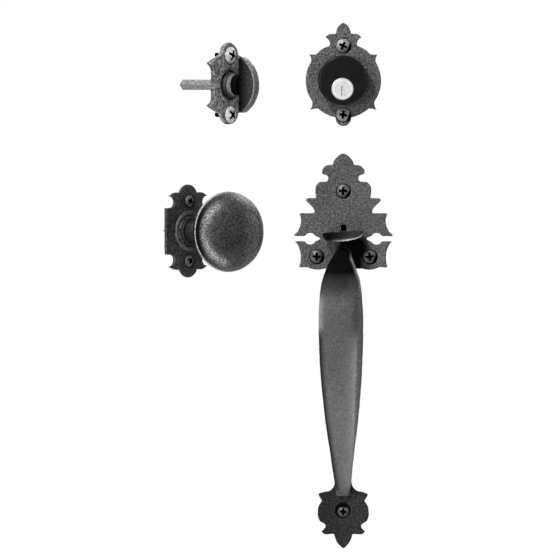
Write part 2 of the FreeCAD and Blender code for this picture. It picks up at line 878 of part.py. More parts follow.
def cylinder_tailpiece():
    body = new_body("cylinder_tailpiece", plug_place())
    sketch = new_sketch(body, "YZ_Plane", "tail_side")
    draw(
        sketch,
        ("drum_end + seat_gap", "- tail_half_wide"),
        [
            ("drum_end + tail_length - 2", "- tail_half_wide"),
            ("drum_end + tail_length", "- tail_half_wide + 2"),
            ("drum_end + tail_length", "tail_half_wide - 2"),
            ("drum_end + tail_length - 2", "tail_half_wide"),
            ("drum_end + seat_gap", "tail_half_wide"),
        ],
    )
    pad(body, sketch, "tail_half_thick + tail_half_thick", midplane=True)
    return body


def deadbolt_screws():
    here = bolt_place()
    return group(
        "deadbolt_screws",
        [
            screw("deadbolt_screw_top", here, "0", "bolt_screw_z", BOLT_SCREW, 33),
            screw("deadbolt_screw_low", here, "0", "- bolt_screw_z", BOLT_SCREW, 5),
        ],
    )


# Turn piece for the inside of the deadbolt
def turn_place():
    return placed("turn_x", "0", "turn_z", SIZES["turn_facing"])


def turn_plate():
    body = new_body("turn_plate", turn_place())
    outline = new_sketch(body, "XZ_Plane", "turn_outline")
    draw(
        outline,
        *both_sides(
            [
                ("0", "turn_apex"),
                ("12.2", "turn_apex - 11", "8.6", "turn_apex - 4.2"),
                ("turn_half - 1.4", "turn_apex - 17.4", "19.5", "turn_apex - 13.8"),
                ("turn_half - 1", "turn_apex - 19.6", "turn_half", "turn_apex - 18.6"),
                ("turn_waist", "turn_apex - 25.4", "turn_waist + 2.4", "turn_apex - 21.4"),
                ("turn_waist", "- turn_tip + 22.4"),
                ("turn_half - 1", "- turn_tip + 18", "turn_waist + 2.4", "- turn_tip + 19.4"),
                ("turn_half - 1.4", "- turn_tip + 15.8", "turn_half", "- turn_tip + 17"),
                ("12.2", "- turn_tip + 9.4", "19.5", "- turn_tip + 12.2"),
                ("0", "- turn_tip", "8.6", "- turn_tip + 3.4"),
            ]
        ),
    )
    pad(body, outline, "turn_thick")
    round_hole(body, "turn_bore_hole", "turn_bore")
    screw_hole(body, "turn_hole_top", "0", "turn_screw_z", TURN_SCREW)
    screw_hole(body, "turn_hole_low", "0", "- turn_screw_z", TURN_SCREW)
    return body


def turn_bushing():
    body = new_body("turn_bushing", turn_place())
    turned(
        body,
        "turn_bushing_profile",
        ("- turn_thick - turn_ring_proud", "turn_shank + running"),
        [
            ("- turn_thick - turn_ring_proud", "turn_ring_radius - 0.6"),
            ("- turn_thick - turn_ring_proud + 0.6", "turn_ring_radius"),
            ("- 1.2", "turn_ring_radius"),
            ("- 1.2", "turn_bore - fit"),
            ("0", "turn_bore - fit"),
            ("0", "turn_flange_radius"),
            ("turn_flange_thick", "turn_flange_radius"),
            ("turn_flange_thick", "turn_shank + running"),
        ],
    )
    return body


def turn_paddle():
    body = new_body("turn_paddle", turn_place())
    turned(
        body,
        "turn_hub_profile",
        ("- turn_inner - 1", "0"),
        [
            ("- turn_inner - 1", "turn_hub - 1.6"),
            ("- turn_inner + 1", "turn_hub"),
            ("- turn_thick - turn_ring_proud - seat_gap", "turn_hub"),
            ("- turn_thick - turn_ring_proud - seat_gap", "turn_shank"),
            ("turn_flange_thick + seat_gap", "turn_shank"),
            ("turn_flange_thick + seat_gap", "turn_shank - clip_bite"),
            ("turn_flange_thick + seat_gap + clip_thick + 0.1", "turn_shank - clip_bite"),
            ("turn_flange_thick + seat_gap + clip_thick + 0.1", "turn_shank"),
            ("turn_flange_thick + clip_reach", "turn_shank"),
            ("turn_flange_thick + clip_reach", "0"),
        ],
    )
    thumb = new_sketch(body, "YZ_Plane", "turn_thumb")
    draw(
        thumb,
        ("- turn_inner", "- turn_half_tall + 2.4"),
        [
            ("- turn_inner", "turn_half_tall - 2.4"),
            ("- turn_inner - 3", "turn_half_tall", "- turn_inner - 0.7", "turn_half_tall - 0.7"),
            ("- turn_inner - 3", "- turn_half_tall", "- turn_outer", "0"),
            ("- turn_inner", "- turn_half_tall + 2.4", "- turn_inner - 0.7", "- turn_half_tall + 0.7"),
        ],
    )
    pad(body, thumb, "turn_thumb_thick", midplane=True)
    side = "turn_bar_corner + fit + fit"
    square_cut(body, "turn_socket", side, "- turn_bar_front - seat_gap", "turn_bar_front + 8")
    cross = new_sketch(body, "YZ_Plane", "turn_pin_hole")
    circle(cross, "- turn_pin_y", "0", "turn_pin_radius")
    pocket(body, cross, "turn_hub + turn_hub + 4", midplane=True)
    return body


def turn_spindle():
    place = turn_place()
    body = square_bar("turn_spindle", place, "turn_bar_corner", "turn_bar_front", "turn_bar_end")
    cross = new_sketch(body, "YZ_Plane", "spindle_pin_hole")
    circle(cross, "- turn_pin_y", "0", "turn_pin_radius")
    pocket(body, cross, "turn_hub + turn_hub", midplane=True)
    return body


def turn_cross_pin():
    body = new_body("turn_cross_pin", turn_place() * placed("0", "- turn_pin_y", "0"))
    sketch = new_sketch(body, "YZ_Plane", "cross_pin_round")
    circle(sketch, "0", "0", "turn_pin_radius")
    pad(body, sketch, "turn_hub + turn_hub - 0.6", midplane=True)
    return body


def turn_retaining_ring():
    groove = "turn_flange_thick + seat_gap"
    return clip("turn_retaining_ring", turn_place(), groove, "turn_shank - clip_bite")


def turn_screws():
    here = turn_place()
    return group(
        "turn_screws",
        [
            screw("turn_screw_top", here, "0", "turn_screw_z", TURN_SCREW, 20),
            screw("turn_screw_low", here, "0", "- turn_screw_z", TURN_SCREW, 42),
        ],
    )


# Knob and rose for the inside of the latch
def knob_place():
    return placed("knob_x", "0", "knob_z", SIZES["knob_facing"])


def knob_plate():
    body = new_body("knob_plate", knob_place())
    upper = [
        ("0", "rose_apex"),
        ("10.6", "rose_apex - 7.5", "7.1", "rose_apex - 2.6"),
        ("rose_leaf", "rose_apex - 10.9", "18.3", "rose_apex - 7.6"),
        ("rose_half - 6.7", "rose_body", "17.6", "rose_apex - 15.4"),
        ("rose_half - 1", "rose_body"),
        ("rose_half", "rose_body - 1", "rose_half - 0.3", "rose_body - 0.3"),
    ]
    lower = [
        ("rose_half", "- rose_body + 1"),
        ("rose_half - 1", "- rose_body", "rose_half - 0.3", "- rose_body + 0.3"),
        ("rose_half - 6.7", "- rose_body"),
        ("rose_leaf", "- rose_apex + 10.9", "17.6", "- rose_apex + 15.4"),
        ("10.6", "- rose_apex + 7.5", "18.3", "- rose_apex + 7.6"),
        ("0", "- rose_apex", "7.1", "- rose_apex + 2.6"),
    ]
    outline = new_sketch(body, "XZ_Plane", "rose_outline")
    draw(outline, *both_sides(upper + lower))
    pad(body, outline, "rose_thick")
    band = new_sketch(body, "XZ_Plane", "rose_band", {"z": "rose_thick - 0.5"})
    circle(band, "0", "0", "band_outer")
    circle(band, "0", "0", "band_inner")
    pad(body, band, "band_rise + 0.5")
    round_hole(body, "rose_bore_hole", "rose_bore")
    screw_hole(body, "rose_hole_top", "0", "rose_screw_z", ROSE_SCREW)
    screw_hole(body, "rose_hole_low", "0", "- rose_screw_z", ROSE_SCREW)
    return body


def knob_bushing():
    body = new_body("knob_bushing", knob_place())
    turned(
        body,
        "knob_bushing_profile",
        ("- rose_thick - base_proud", "knob_shank + running"),
        [
            ("- rose_thick - base_proud", "base_radius - 0.8"),
            ("- rose_thick - base_proud + 0.8", "base_radius"),
            ("- rose_thick", "base_radius"),
            ("- rose_thick", "rose_bore - fit"),
            ("- seat_gap", "rose_bore - fit"),
            ("- seat_gap", "knob_shank + running"),
        ],
    )
    return body


def knob():
    body = new_body("knob", knob_place())
    apex = "- knob_rim_reach - knob_dome"
    turned(
        body,
        "knob_profile",
        (apex, "0"),
        [
            (apex, "1"),
            (apex + " + 4.4", "knob_rim - 17.5", apex + " + 1.1", "knob_rim - 26.8"),
            ("- knob_rim_reach", "knob_rim", apex + " + 12.7", "knob_rim - 5.1"),
            ("- knob_rim_reach + 9.2", "knob_rim - 2.6", "- knob_rim_reach + 4.6", "knob_rim - 0.6"),
            ("- knob_neck_end", "knob_neck + 1.2", "- knob_rim_reach + 19.8", "knob_rim - 13.3"),
            ("- knob_neck_end + 7", "knob_neck", "- knob_neck_end + 2.4", "knob_neck + 0.2"),
            ("- rose_thick - base_proud - seat_gap", "knob_neck"),
            ("- rose_thick - base_proud - seat_gap", "knob_shank"),
            ("washer_thick + seat_gap", "knob_shank"),
            ("washer_thick + seat_gap", "knob_shank - clip_bite"),
            ("washer_thick + seat_gap + clip_thick + 0.1", "knob_shank - clip_bite"),
            ("washer_thick + seat_gap + clip_thick + 0.1", "knob_shank"),
            ("knob_shank_end", "knob_shank"),
            ("knob_shank_end", "0"),
        ],
    )
    side = "knob_bar_corner + fit + fit"
    square_cut(body, "knob_socket", side, "- knob_bar_front - seat_gap", "knob_bar_front + 10")
    screw_way = new_sketch(body, "XY_Plane", "set_screw_hole")
    circle(screw_way, "0", "- set_screw_y", "set_screw_radius")
    pocket(body, screw_way, "knob_neck + 4")
    return body


def knob_spindle():
    place = knob_place()
    return square_bar("knob_spindle", place, "knob_bar_corner", "knob_bar_front", "knob_bar_end")


def knob_set_screw():
    place = knob_place() * placed("0", "- set_screw_y", "- knob_neck + 0.4")
    body = new_body("knob_set_screw", place)
    sketch = new_sketch(body, "XY_Plane", "set_screw_round")
    circle(sketch, "0", "0", "set_screw_radius")
    pad(body, sketch, "knob_neck - 0.4 - knob_bar_corner - fit")
    socket = new_sketch(body, "XY_Plane", "set_screw_socket")
    box(socket, "- set_screw_hex", "- set_screw_hex", "set_screw_hex", "set_screw_hex")
    pocket(body, socket, "2", behind="2.4")
    return body


def knob_washer():
    body = new_body("knob_washer", knob_place())
    sketch = new_sketch(body, "XZ_Plane", "washer_ring", {"z": "- washer_thick"})
    circle(sketch, "0", "0", "washer_radius")
    circle(sketch, "0", "0", "knob_shank + running")
    pad(body, sketch, "washer_thick")
    return body


def knob_retaining_ring():
    return clip("knob_retaining_ring", knob_place(), "washer_thick + seat_gap", "knob_shank - clip_bite")


def knob_screws():
    here = knob_place()
    return group(
        "knob_screws",
        [
            screw("knob_screw_top", here, "0", "rose_screw_z", ROSE_SCREW, 15),
            screw("knob_screw_low", here, "0", "- rose_screw_z", ROSE_SCREW, 37),
        ],
    )


PIECES = [
    grip_handle,
    thumb_lever,
    thumb_pivot_pin,
    handle_screws,
    deadbolt_plate,
    cylinder_collar,
    cylinder_body,
    key_plug,
    plug_cap,
    cylinder_tailpiece,
    deadbolt_screws,
    turn_plate,
    turn_bushing,
    turn_paddle,
    turn_spindle,
    turn_cross_pin,
    turn_retaining_ring,
    turn_screws,
    knob_plate,
    knob_bushing,
    knob,
    knob_spindle,
    knob_set_screw,
    knob_washer,
    knob_retaining_ring,
    knob_screws,
]

pieces = [piece() for piece in PIECES]
doc.recompute()

for item in doc.Objects:
    if "Invalid" in item.State or "Error" in item.State:
        raise ValueError("%s did not build: %s" % (item.Label, item.State))
for piece in pieces:
    if piece.Shape.isNull() or not piece.Shape.isValid():
        raise ValueError("%s has no sound shape" % piece.Label)
    piece.Shape.exportStep("parts/%s.step" % piece.Label)
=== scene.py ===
import math

import bmesh
import bpy
import numpy as np
from mathutils import Matrix, Vector, noise


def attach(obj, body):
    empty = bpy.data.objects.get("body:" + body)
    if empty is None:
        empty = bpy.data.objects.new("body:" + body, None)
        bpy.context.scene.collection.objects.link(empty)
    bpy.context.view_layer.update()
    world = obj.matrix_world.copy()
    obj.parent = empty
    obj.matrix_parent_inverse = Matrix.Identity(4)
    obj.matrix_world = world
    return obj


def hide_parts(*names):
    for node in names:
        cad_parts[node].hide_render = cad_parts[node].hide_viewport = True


# Looks of an entry door handleset in black iron. Lengths in the shape functions are millimetres.
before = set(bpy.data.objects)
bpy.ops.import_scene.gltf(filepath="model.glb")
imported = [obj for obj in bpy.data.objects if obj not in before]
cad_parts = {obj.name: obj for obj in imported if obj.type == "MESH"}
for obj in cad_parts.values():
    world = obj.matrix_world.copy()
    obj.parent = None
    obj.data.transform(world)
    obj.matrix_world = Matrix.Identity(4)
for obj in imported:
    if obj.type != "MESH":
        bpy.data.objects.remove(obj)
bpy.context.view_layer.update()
MM = 0.001

# Driving sizes, the same as the solids'
PLATE = 3.6
BOLT_Z = 139.7
NOSE_DROP = 7.8
TURN_X, TURN_Z, TURN_FACING = -105.3, 135.5, 55.0
KNOB_X, KNOB_Z, KNOB_FACING = -141.5, 4.0, 49.0
TURN_THICK = 4.3
ROSE_THICK = 3.3
PIN_Y, PIN_Z, DROOP, PAD_ROLL = 6.0, 2.7, 14.0, 4.0
SHANK = 2.4
SCREW_HOLE = SHANK + 0.3

# How far the dark gap round a screw's head sits to its right and below it
GROOVE_SHIFT = 0.35

# The photograph: its width in pixels, millimetres per pixel, and the latch's middle in it
PHOTO = 560
PIXEL = 0.9
LATCH_U, LATCH_V = 343.5, 235.5

# Nearly nothing, and the rounding of an edge that stays sharp
EPS = 1e-6
SHARP = 0.001


def unit(x=0.0, z=0.0, swing=0.0):
    """Place of one unit of the set in the frame, in metres."""
    return Matrix.Translation(Vector((x, 0.0, z)) * MM) @ Matrix.Rotation(math.radians(swing), 4, "Z")


HANDLE = unit()
BOLT = unit(z=BOLT_Z)
PLUG = unit(z=BOLT_Z - NOSE_DROP)
TURN = unit(TURN_X, TURN_Z, TURN_FACING)
KNOB = unit(KNOB_X, KNOB_Z, KNOB_FACING)
LEVER = Matrix.Translation(Vector((0, PIN_Y, PIN_Z)) * MM) @ Matrix.Rotation(math.radians(DROOP), 4, "X")


# Outlines
def circle_through(p, via, q):
    """The arc from p by way of via to q: its centre, radius, start and turn, or None along a line."""
    (ax, ay), (bx, by), (cx, cy) = p, via, q
    d = 2 * (ax * (by - cy) + bx * (cy - ay) + cx * (ay - by))
    if abs(d) < EPS:
        return None
    a2, b2, c2 = ax * ax + ay * ay, bx * bx + by * by, cx * cx + cy * cy
    ox = (a2 * (by - cy) + b2 * (cy - ay) + c2 * (ay - by)) / d
    oy = (a2 * (cx - bx) + b2 * (ax - cx) + c2 * (bx - ax)) / d
    start = math.atan2(ay - oy, ax - ox)
    turn = (math.atan2(cy - oy, cx - ox) - start) % math.tau
    if (math.atan2(by - oy, bx - ox) - start) % math.tau > turn:
        turn -= math.tau
    return ox, oy, math.hypot(ax - ox, ay - oy), start, turn


def along(circle, count):
    """So many points evenly along an arc from its start, its end left out."""
    ox, oy, r, start, turn = circle
    angles = [start + turn * k / count for k in range(count)]
    return [(ox + r * math.cos(a), oy + r * math.sin(a)) for a in angles]


def arc(p, q, via, step=0.6):
    """Points after p up to q on the circle through p, via and q."""
    circle = circle_through(p, via, q)
    if circle is None:
        return [q]
    r, turn = circle[2], abs(circle[4])
    count = max(2, math.ceil(turn * r / step), math.ceil(turn / 0.3))
    return along(circle, count)[1:] + [q]


def trace(moves, step=0.6):
    """Points along corners (u, v), or (u, v, via u, via v) where an arc leads there."""
    points = [moves[0][:2]]
    for move in moves[1:]:
        if len(move) == 2:
            points.append(move)
        else:
            points += arc(points[-1], move[:2], move[2:], step)
    return points


def both_sides(half, step=0.6):
    """A closed outline from its right half, whose ends lie on the axis."""
    right = trace(half, step)
    return right + [(-x, z) for x, z in reversed(right[1:-1])]


def ring(radius, x=0.0, z=0.0, count=64):
    """Points round a circle."""
    angles = [math.tau * k / count for k in range(count)]
    return [(x + radius * math.cos(a), z + radius * math.sin(a)) for a in angles]


# Meshes
def new_object(name, data):
    piece = bpy.data.objects.new(name, data)
    bpy.context.scene.collection.objects.link(piece)
    return piece


def mesh_of(work, name, outward=True):
    """A finished bmesh as a mesh, its faces turned outwards."""
    if outward:
        bmesh.ops.recalc_face_normals(work, faces=work.faces)
    mesh = bpy.data.meshes.new(name)
    work.to_mesh(mesh)
    work.free()
    return mesh


def skin(work, rows):
    """Faces between closed rows of as many vertices, and one across each end."""
    count = len(rows[0])
    for a, b in zip(rows, rows[1:]):
        for k in range(count):
            j = (k + 1) % count
            work.faces.new((a[k], a[j], b[j], b[k]))
    work.faces.new(rows[0])
    work.faces.new(rows[-1][::-1])


def shifted(mesh, x=0.0, y=0.0, z=0.0):
    """The mesh, moved by millimetres."""
    mesh.transform(Matrix.Translation((x * MM, y * MM, z * MM)))
    return mesh


def slab(loops, back, front, edge=0.5, upright=True):
    """A flat body with the given outline and holes, its edges rounded, between two depths."""
    # filled at a slant and turned back after, so that no two corners lie level
    tilt = 0.37
    c, s = math.cos(tilt), math.sin(tilt)
    curve = bpy.data.curves.new("slab", "CURVE")
    curve.dimensions = "2D"
    curve.fill_mode = "BOTH"
    curve.extrude = (abs(front - back) / 2 - edge) * MM
    curve.bevel_depth = edge * MM
    curve.bevel_resolution = 3
    curve.offset = -edge * MM
    for loop in loops:
        spline = curve.splines.new("POLY")
        spline.points.add(len(loop) - 1)
        for point, (u, v) in zip(spline.points, loop):
            point.co = ((u * c - v * s) * MM, (u * s + v * c) * MM, 0, 1)
        spline.use_cyclic_u = True
    holder = new_object("slab", curve)
    mesh = bpy.data.meshes.new_from_object(holder.evaluated_get(bpy.context.evaluated_depsgraph_get()))
    bpy.data.objects.remove(holder)
    mesh.transform(Matrix.Rotation(-tilt, 4, "Z"))
    middle = (front + back) / 2 * MM
    if upright:
        mesh.transform(Matrix.Translation((0, middle, 0)) @ Matrix.Rotation(math.radians(90), 4, "X"))
    else:
        mesh.transform(Matrix.Translation((0, 0, middle)))
    return mesh


def side_slab(loop, half, edge):
    """A flat body whose outline is drawn in (y, z), between x = -half and half."""
    mesh = slab([loop], -half, half, edge, upright=False)
    turn = Matrix(((0, 0, 1, 0), (1, 0, 0, 0), (0, 1, 0, 0), (0, 0, 0, 1)))
    mesh.transform(turn)
    return mesh


def lathe(moves, count=96, step=0.7):
    """A body of revolution round y from (y, radius) corners."""
    points = trace(moves, step)
    work = bmesh.new()
    rows = []
    for y, r in points:
        if r < EPS:
            rows.append([work.verts.new((0, y * MM, 0))])
        else:
            rows.append(
                [
                    work.verts.new((r * MM * math.sin(a), y * MM, r * MM * math.cos(a)))
                    for a in (math.tau * k / count for k in range(count))
                ]
            )
    closed = points[0][1] > EPS and points[-1][1] > EPS
    pairs = list(zip(rows, rows[1:])) + ([(rows[-1], rows[0])] if closed else [])
    for a, b in pairs:
        for k in range(count):
            j = (k + 1) % count
            corners = [a[k % len(a)], a[j % len(a)], b[j % len(b)], b[k % len(b)]]
            corners = list(dict.fromkeys(corners))
            if len(corners) > 2:
                work.faces.new(corners)
    return mesh_of(work, "lathe")


def joined(meshes):
    """Several meshes as one."""
    work = bmesh.new()
    for mesh in meshes:
        work.from_mesh(mesh)
    bmesh.ops.remove_doubles(work, verts=work.verts, dist=1e-6)
    return mesh_of(work, "joined", outward=False)


def with_modifiers(mesh, *modifiers):
    """The mesh after the given modifiers, each (type, {property: value})."""
    holder = new_object("holder", mesh)
    for number, (kind, values) in enumerate(modifiers):
        modifier = holder.modifiers.new(str(number), kind)
        for key, value in values.items():
            setattr(modifier, key, value)
    bpy.context.view_layer.update()
    made = bpy.data.meshes.new_from_object(holder.evaluated_get(bpy.context.evaluated_depsgraph_get()))
    bpy.data.objects.remove(holder)
    return made


def cut(mesh, cutter):
    """The mesh less the cutter."""
    tool = new_object("cutter", cutter)
    made = with_modifiers(mesh, ("BOOLEAN", {"operation": "DIFFERENCE", "solver": "EXACT", "object": tool}))
    bpy.data.objects.remove(tool)
    return made


def recast(mesh, voxel, smooth=3):
    """One closed skin round every shell of the mesh, its edges softened as in a sand casting."""
    return with_modifiers(
        mesh,
        ("REMESH", {"mode": "VOXEL", "voxel_size": voxel * MM, "use_smooth_shade": True}),
        ("SMOOTH", {"factor": 0.5, "iterations": smooth}),
    )


def arrays(mesh):
    """The vertices' places and normals and the edges' ends."""
    co = np.empty(len(mesh.vertices) * 3)
    mesh.vertices.foreach_get("co", co)
    normals = np.empty(len(mesh.vertices) * 3)
    mesh.vertices.foreach_get("normal", normals)
    edges = np.empty(len(mesh.edges) * 2, int)
    mesh.edges.foreach_get("vertices", edges)
    return co.reshape(-1, 3), normals.reshape(-1, 3), edges.reshape(-1, 2)


def neighbour_mean(values, edges):
    """For each vertex, the mean of its neighbours' values."""
    total = np.zeros_like(values)
    count = np.zeros(len(values))
    for a, b in ((0, 1), (1, 0)):
        np.add.at(total, edges[:, a], values[edges[:, b]])
        np.add.at(count, edges[:, a], 1)
    count = np.maximum(count, 1)
    return total / (count[:, None] if values.ndim == 2 else count)


def move_skin(mesh, co):
    mesh.vertices.foreach_set("co", co.ravel())
    mesh.update()


def rough_up(mesh, waves, seed):
    """Moves the skin in and out by bands of noise, each (size, height) in millimetres."""
    co, normals, _ = arrays(mesh)
    shift = np.zeros(len(co))
    for number, (size, height) in enumerate(waves):
        offset = Vector((seed * 7.3 + number * 3.1, seed * 1.9, number * 5.7))
        scale = 1 / (size * MM)
        shift += height * MM * np.array([noise.noise(Vector(p) * scale + offset) for p in co])
    move_skin(mesh, co + normals * shift[:, None])


def dimple(mesh, size, depth, seed, where):
    """Hammer marks: shallow round hollows with soft ridges between them, as deep as where(y) says."""
    co, normals, _ = arrays(mesh)
    shift = np.zeros(len(co))
    for number, p in enumerate(co):
        near, far = noise.voronoi(Vector(p) / (size * MM) + Vector((seed, seed * 2.3, 0)))[0][:2]
        shift[number] = min(1.0, (far - near) * 1.6)
    shift *= where(co[:, 1] / MM)
    move_skin(mesh, co - normals * (shift * depth * MM)[:, None])


def mark_wear(mesh, reach=3, gain=2.2, start=0.05):
    """Writes a wear attribute: 1 on outward edges, 0 on flats and in hollows."""
    co, normals, edges = arrays(mesh)
    length = np.linalg.norm(co[edges[:, 0]] - co[edges[:, 1]], axis=1).mean()
    bend = -((neighbour_mean(co, edges) - co) * normals).sum(1) / length
    for _ in range(reach):
        bend = neighbour_mean(bend, edges)
    layer = mesh.attributes.new("wear", "FLOAT", "POINT")
    layer.data.foreach_set("value", np.clip((bend - start) * gain * 4, 0, 1).astype(np.float32))


def mark_tone(mesh, painted_shade=None, painted_highlight=None, calm=None):
    """Writes a tone from functions of (x, y, z) in mm: its x is painted shade, y painted highlight, z a quiet
    grain.
    """
    co = arrays(mesh)[0] / MM
    values = np.zeros((len(co), 3), np.float32)
    for column, share in ((0, painted_shade), (1, painted_highlight), (2, calm)):
        if share is not None:
            values[:, column] = np.clip(share(co[:, 0], co[:, 1], co[:, 2]), 0, 1)
    layer = mesh.attributes.new("tone", "FLOAT_VECTOR", "POINT")
    layer.data.foreach_set("vector", values.ravel())


def ramp(value, low, high):
    """0 at low, 1 at high, straight between them."""
    return np.clip((value - low) / (high - low), 0, 1)


def either(*shares):
    """The greatest of several functions of (x, y, z)."""
    return lambda x, y, z: np.maximum.reduce([share(x, y, z) for share in shares])


def smooth_shaded(mesh, angle):
    """Smooth normals, kept sharp across edges over an angle in degrees."""
    mesh.polygons.foreach_set("use_smooth", [True] * len(mesh.polygons))
    mesh.set_sharp_from_angle(angle=math.radians(angle))
    return mesh


def dress(name, mesh, place, material, body, node):
    """Puts a finished mesh in the frame in place of its CAD node."""
    mesh.transform(place)
    mesh.name = name
    mesh.materials.clear()
    mesh.materials.append(material)
    piece = new_object(name, mesh)
    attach(piece, body)
    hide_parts(node)


# Materials
class Nodes:
    """A short hand for building a material's node tree."""

    def __init__(self, name):
        self.material = bpy.data.materials.new(name)
        self.material.use_nodes = True
        self.tree = self.material.node_tree
        self.shader = self.tree.nodes["Principled BSDF"]
        self.coords = self.add("ShaderNodeTexCoord").outputs["Object"]

    def add(self, kind, **values):
        node = self.tree.nodes.new(kind)
        for key, value in values.items():
            setattr(node, key, value)
        return node

    def link(self, source, target):
        self.tree.links.new(source, target)

    def noise(self, size, detail=4.0, rough=0.55, stretch=(1, 1, 1)):
        """A noise of this size in millimetres."""
        place = self.add("ShaderNodeMapping")
        place.inputs["Scale"].default_value = [s / (size * MM) for s in stretch]
        self.link(self.coords, place.inputs["Vector"])
        node = self.add("ShaderNodeTexNoise")
        node.inputs["Scale"].default_value = 1.0
        node.inputs["Detail"].default_value = detail
        node.inputs["Roughness"].default_value = rough
        self.link(place.outputs["Vector"], node.inputs["Vector"])
        return node.outputs["Fac"]

    def feed(self, socket, value):
        """Links a source to the socket, or writes a number there, as a grey where it takes a colour."""
        if isinstance(value, bpy.types.NodeSocket):
            self.link(value, socket)
        elif socket.type == "RGBA":
            socket.default_value = (value, value, value, 1)
        else:
            socket.default_value = value

    def ramp(self, source, stops):
        """Greys from one (place, value) to another along the source."""
        node = self.add("ShaderNodeValToRGB")
        for element, (where, value) in zip(node.color_ramp.elements, stops):
            element.position = where
            element.color = (value, value, value, 1)
        self.link(source, node.inputs["Fac"])
        return node.outputs["Color"]

    def mix(self, amount, first, second):
        node = self.add("ShaderNodeMix", data_type="RGBA")
        for key, value in (("Factor", amount), ("A", first), ("B", second)):
            self.feed(node.inputs[key], value)
        return node.outputs["Result"]

    def maths(self, operation, *values):
        node = self.add("ShaderNodeMath", operation=operation)
        for socket, value in zip(node.inputs, values):
            self.feed(socket, value)
        return node.outputs["Value"]

    def attribute(self, name, output="Fac"):
        return self.add("ShaderNodeAttribute", attribute_name=name).outputs[output]

    def bump(self, heights, strength=1.0):
        """Bumps one on another, each (height source, depth in mm)."""
        last = None
        for source, depth in heights:
            node = self.add("ShaderNodeBump")
            self.feed(node.inputs["Strength"], strength)
            node.inputs["Distance"].default_value = depth * MM
            self.link(source, node.inputs["Height"])
            if last is not None:
                self.link(last, node.inputs["Normal"])
            last = node.outputs["Normal"]
        self.link(last, self.shader.inputs["Normal"])

    def wear(self):
        """The mesh's wear, broken up by a patchy noise."""
        patches = self.ramp(self.noise(3.0, 3), [(0.32, 0.25), (0.62, 1.0)])
        patchy = self.maths("MULTIPLY", self.attribute("wear"), patches)
        return self.ramp(patchy, [(0.35, 0.0), (0.7, 1.0)])


def iron(
    name, dark, light, grain=1.7, grain_depth=0.75, lumps=4.5, lump_depth=0.7,
    rough=(0.38, 0.55), edge=0.3, specks=0.5, painted_highlight=0.2, sand=0.7,
):
    """Black-painted rough iron: sandy grain over soft lumps, its edges paler where the paint has gone;
    painted shade and painted highlights come from the tone attribute.
    """
    n = Nodes(name)
    fine = n.noise(grain, 3, 0.6)
    soft = n.noise(lumps, 3, 0.5)
    broad = n.noise(24, 3)
    split = n.add("ShaderNodeSeparateXYZ")
    n.link(n.attribute("tone", "Vector"), split.inputs["Vector"])
    shade_share, highlight_share, calm = split.outputs
    grains = n.ramp(fine, [(0.37, 0.0), (0.63, 1.0)])
    quiet = n.ramp(fine, [(0.3, 0.4), (0.7, 0.6)])
    grains = n.mix(calm, grains, quiet)
    colour = n.mix(grains, dark, light)
    colour = n.mix(n.ramp(broad, [(0.35, 0.0), (0.7, 0.35)]), colour, dark)
    glint = n.ramp(n.noise(1.3, 2), [(0.62, 0.0), (0.68, specks)])
    glint = n.maths("MULTIPLY", glint, n.maths("SUBTRACT", 1.0, calm))
    colour = n.mix(glint, colour, light * 2.2)
    worn = n.wear()
    colour = n.mix(n.maths("MULTIPLY", worn, 0.8), colour, edge)
    # painted highlight, sandy, and painted shade, from the tone attribute's first two parts
    highlight_colour = n.mix(grains, painted_highlight * sand, painted_highlight * (2 - sand))
    colour = n.mix(highlight_share, colour, highlight_colour)
    colour = n.mix(shade_share, colour, dark * 0.12)
    n.link(colour, n.shader.inputs["Base Color"])
    base_rough = n.ramp(soft, [(0.3, rough[0]), (0.7, rough[1])])
    n.link(n.mix(worn, base_rough, 0.34), n.shader.inputs["Roughness"])
    n.link(n.maths("MULTIPLY", worn, 0.7), n.shader.inputs["Metallic"])
    n.link(n.maths("MULTIPLY_ADD", shade_share, -0.18, 0.18), n.shader.inputs["Specular IOR Level"])
    n.bump([(soft, lump_depth), (fine, grain_depth)], n.maths("MULTIPLY_ADD", calm, -0.8, 1.0))
    return n.material


def satin(name, dark, light, rough, stretch=(1, 1, 1), size=0.5, depth=0.01, metal=1.0, deep=None):
    """Bare metal with fine drawn or turned lines; deep is the colour of the painted shade in a screw's cross
    and on its head's shaded side, and of its thread.
    """
    n = Nodes(name)
    lines = n.noise(size, 4, 0.6, stretch)
    cloud = n.noise(6, 3)
    colour = n.mix(n.ramp(lines, [(0.3, 0.0), (0.7, 1.0)]), dark, light)
    colour = n.mix(n.ramp(cloud, [(0.4, 0.0), (0.75, 0.3)]), colour, dark * 0.8)
    roughness = n.ramp(lines, [(0.3, rough * 0.85), (0.7, rough * 1.2)])
    # the shade attribute: painted shade in the cross and on the head's shaded side
    if deep is not None:
        layer = n.attribute("shade")
        colour = n.mix(layer, colour, deep)
        roughness = n.mix(layer, roughness, 0.8)
        n.link(n.maths("MULTIPLY_ADD", layer, -0.5, 0.5), n.shader.inputs["Specular IOR Level"])
        metal = n.maths("MULTIPLY_ADD", layer, -metal, metal)
    n.feed(n.shader.inputs["Metallic"], metal)
    n.link(colour, n.shader.inputs["Base Color"])
    n.link(roughness, n.shader.inputs["Roughness"])
    n.bump([(lines, depth)])
    return n.material


def gloss_black(name):
    """Smooth black enamel, its skin faintly uneven."""
    n = Nodes(name)
    cloud = n.noise(5, 3)
    n.link(n.ramp(cloud, [(0.3, 0.002), (0.8, 0.005)]), n.shader.inputs["Base Color"])
    n.link(n.ramp(n.noise(1.2, 3), [(0.3, 0.26), (0.7, 0.3)]), n.shader.inputs["Roughness"])
    n.shader.inputs["Specular IOR Level"].default_value = 0.08
    n.bump([(n.noise(2.5, 2), 0.01)])
    return n.material


